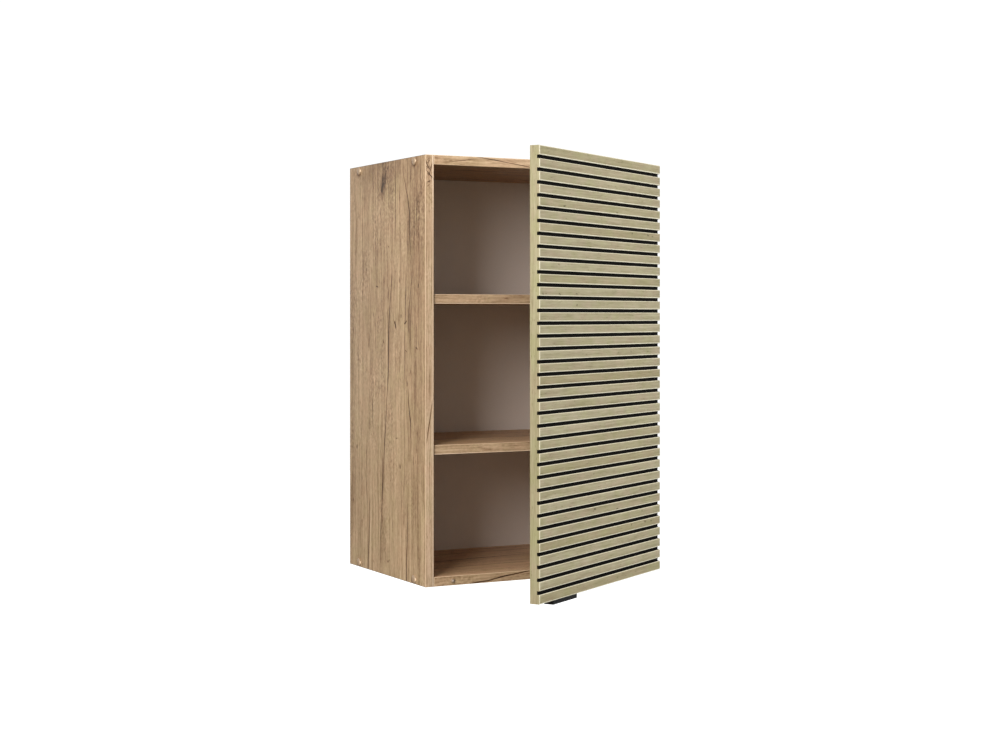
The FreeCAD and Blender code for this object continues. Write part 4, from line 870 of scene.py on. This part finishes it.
def door_mesh():
    """Section of the door in (y, z), extruded along x, with small rounds on
    the slats' long arrises and on the two vertical front arrises."""
    r = 0.0012
    n = int(round((DZ1 - DZ0 - 2 * FIRST) / PITCH)) + 1

    def arc(cy, cz, a0, a1, k=3):
        return [(cy + r * math.cos(math.radians(a0 + (a1 - a0) * i / k)), cz + r * math.sin(math.radians(a0 + (a1 - a0) * i / k))) for i in range(k + 1)]

    # front side from bottom to top
    pts = []
    low = 0.0004      # flat strip above a slat's lower arris, given the same painted highlight as the arris
    pts += [(q, "low") for q in arc(DYF + r, DZ0 + r, 270, 180)]
    pts.append(((DYF, DZ0 + r + low), "face"))
    for i in range(n):
        zc = DZ0 + FIRST + PITCH * i
        a = arc(DYF + r, zc - SLOT - r, 180, 90)
        pts += [(q, "arris") for q in a]
        pts[-1] = (pts[-1][0], "slot")
        pts[-2] = (pts[-2][0], "slot")
        pts.append(((DYF + DEEP, zc - SLOT), "slot"))
        pts.append(((DYF + DEEP, zc + SLOT), "slot"))
        b = arc(DYF + r, zc + SLOT + r, 270, 180)
        pts += [(q, "low") for q in b]
        pts.append(((DYF, zc + SLOT + r + low), "face"))
    pts += [(q, "arris") for q in arc(DYF + r, DZ1 - r, 180, 90)]
    pts[-1] = (pts[-1][0], "face")
    pts.append(((DYB - 0.0005, DZ1), "arris"))
    pts.append(((DYB, DZ1 - 0.0005), "back"))
    pts.append(((DYB, DZ0 + 0.0005), "arris"))
    pts.append(((DYB - 0.0005, DZ0), "face"))
    kinds = {"face": 0, "arris": 1, "slot": 2, "back": 3, "low": 5}
    # stations along x: the round of the vertical arrises pulls the front in
    bm = bmesh.new()
    k = 3
    R, R2, BAND = 0.0007, 0.0004, 0.0021      # free edge, hinge edge, edge band seen from the front

    def quarter(rad):
        return [(rad * (1 - math.cos(math.radians(90 * i / k))), rad * (1 - math.sin(math.radians(90 * i / k)))) for i in range(k + 1)]

    xs = [(DX0 + a, b) for a, b in quarter(R)]
    xs2 = [(DX1 - a, b) for a, b in quarter(R2)][::-1]
    mids = [(DX0 + BAND, 0.0)] + [(DX0 + 0.446 * t, 0.0) for t in (0.25, 0.5, 0.75)]
    st = xs + mids + xs2
    rings = []
    for x, setback in st:
        ring = []
        for (y, z), kind in pts:
            yy = y
            if y < DYF + DEEP - 1e-6:
                # front skin moves back with the arris round
                yy = max(y, DYF + setback) if y <= DYF + setback else y
            ring.append(bm.verts.new((x, yy, z)))
        rings.append(ring)
    for a, b in zip(rings[:-1], rings[1:]):
        xa, xb = a[0].co.x, b[0].co.x
        vertical_arris = xb < DX0 + BAND + 1e-6
        for i in range(len(pts)):
            j = (i + 1) % len(pts)
            kind = pts[i][1]
            vs = [a[i], a[j], b[j], b[i]]
            co = [v.co.copy() for v in vs]
            try:
                f = bm.faces.new(vs)
            except ValueError:
                continue
            mi = kinds[kind]
            # the free edge's round and the edge band strip beside it get the painted arris highlight
            if vertical_arris and kind in ("face", "low") and all(c.y < DYF + R + 1e-6 for c in co):
                mi = 1
            f.material_index = mi
    # end caps
    for ring, flip in ((rings[0], False), (rings[-1], True)):
        f = bm.faces.new(ring if flip else ring[::-1])
        f.material_index = 4
    bmesh.ops.remove_doubles(bm, verts=bm.verts[:], dist=1e-7)
    # the ends are concave outlines: triangulate them
    caps = [f for f in bm.faces if len(f.verts) > 8]
    bmesh.ops.triangulate(bm, faces=caps, quad_method="BEAUTY", ngon_method="EAR_CLIP")
    return bm


bm = door_mesh()
me_layer = bm.verts.layers.float_vector.new("door_uvw")
for v in bm.verts:
    v[me_layer] = (v.co.x - DX0, v.co.y - DYB, v.co.z - DZ0)
bmesh.ops.transform(bm, matrix=TO_REST, verts=bm.verts[:])
door_back = simple("door_back", lin(188, 180, 152), 0.5, 0.0, 700.0, 0.08, 0.08)
door = new_object("door_board", bm, [slat_mat, slat_arris_painted_highlight, groove_mat, door_back, door_edge, slat_low_painted_highlight], "door")
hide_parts("door_panel")

# ------------------------------------------------- carried-over CAD nodes
for n in frame["nodes"]:
    if n in ("carcass_screws", "handle_screws", "shelf_pins") or "screw" in n and n != "screw_cover_caps" or "hook" in n or n.endswith("_pin"):
        set_material(n, zinc_mat)
    elif n.startswith("hinge_"):
        set_material(n, nickel_mat)
set_material("handle", pull_mat)
set_material("back_panel", back_mat)
set_material("door_bumper", bumper_mat)
set_material("wooden_dowels", beech_mat)
set_material("hanger_housing_left", white_plastic)
set_material("hanger_housing_right", white_plastic)

# ------------------------------------------------------------ floor, light
def stage_floor():
    me = bpy.data.meshes.new("floor")
    s = 14.0
    z = -1.15
    me.from_pydata([(-s, -s, z), (s, -s, z), (s, s, z), (-s, s, z)], [], [(0, 1, 2, 3)])
    o = bpy.data.objects.new("floor", me)
    bpy.context.scene.collection.objects.link(o)
    T = Tree("floor_pale")
    p = T.coord()
    n = T.noise(p, 3.0, 3.0, 0.5)
    seen = T.new("ShaderNodeLightPath").outputs["Is Camera Ray"]
    pale = T.mix(T.grey(n, 0.3, 0.7), (0.90, 0.90, 0.90, 1), (0.93, 0.93, 0.93, 1))
    T.put(T.bsdf.inputs["Base Color"], T.mix(seen, (0.27, 0.26, 0.25, 1), pale))
    T.bsdf.inputs["Roughness"].default_value = 0.9
    T.bsdf.inputs["Emission Color"].default_value = (1, 1, 1, 1)
    T.put(T.bsdf.inputs["Emission Strength"], T.math("MULTIPLY", seen, 0.75))
    me.materials.append(T.mat)


stage_floor()

world = bpy.data.worlds.new("studio")
bpy.context.scene.world = world
world.use_nodes = True
wt = world.node_tree
for n in list(wt.nodes):
    wt.nodes.remove(n)
wo = wt.nodes.new("ShaderNodeOutputWorld")
bg_seen = wt.nodes.new("ShaderNodeBackground")
bg_seen.inputs[0].default_value = (1, 1, 1, 1)
bg_seen.inputs[1].default_value = 1.05
bg_light = wt.nodes.new("ShaderNodeBackground")
bg_light.inputs[0].default_value = (0.98, 0.99, 1.0, 1)
bg_light.inputs[1].default_value = 0.66
mixw = wt.nodes.new("ShaderNodeMixShader")
lp = wt.nodes.new("ShaderNodeLightPath")
wt.links.new(lp.outputs["Is Camera Ray"], mixw.inputs[0])
wt.links.new(bg_light.outputs[0], mixw.inputs[1])
wt.links.new(bg_seen.outputs[0], mixw.inputs[2])
wt.links.new(mixw.outputs[0], wo.inputs[0])

MIDDLE = Vector((0.0, -0.2, 0.36))


def area(name, azimuth, elevation, size, power, colour=(1, 1, 1), dist=3.5):
    """A soft box. azimuth: degrees round to the left of straight in front."""
    d = bpy.data.lights.new(name, "AREA")
    d.shape = "RECTANGLE"
    d.size, d.size_y = size
    d.energy = power
    d.color = colour
    o = bpy.data.objects.new(name, d)
    bpy.context.scene.collection.objects.link(o)
    a, e = math.radians(azimuth), math.radians(elevation)
    way = Vector((-math.sin(a) * math.cos(e), -math.cos(a) * math.cos(e), math.sin(e)))
    o.location = MIDDLE + way * dist
    o.rotation_euler = (-way).to_track_quat("-Z", "Y").to_euler()
    return o


area("key", 46.0, 18.0, (0.84, 1.4), 47.0, (1.0, 0.99, 0.97), 3.2)
area("side", 66.0, 20.0, (1.0, 1.0), 24.0, (1.0, 0.99, 0.97), 3.2)
area("fill", -45.0, 20.0, (1.0, 1.0), 27.0, (1.0, 1.0, 1.0), 2.3)
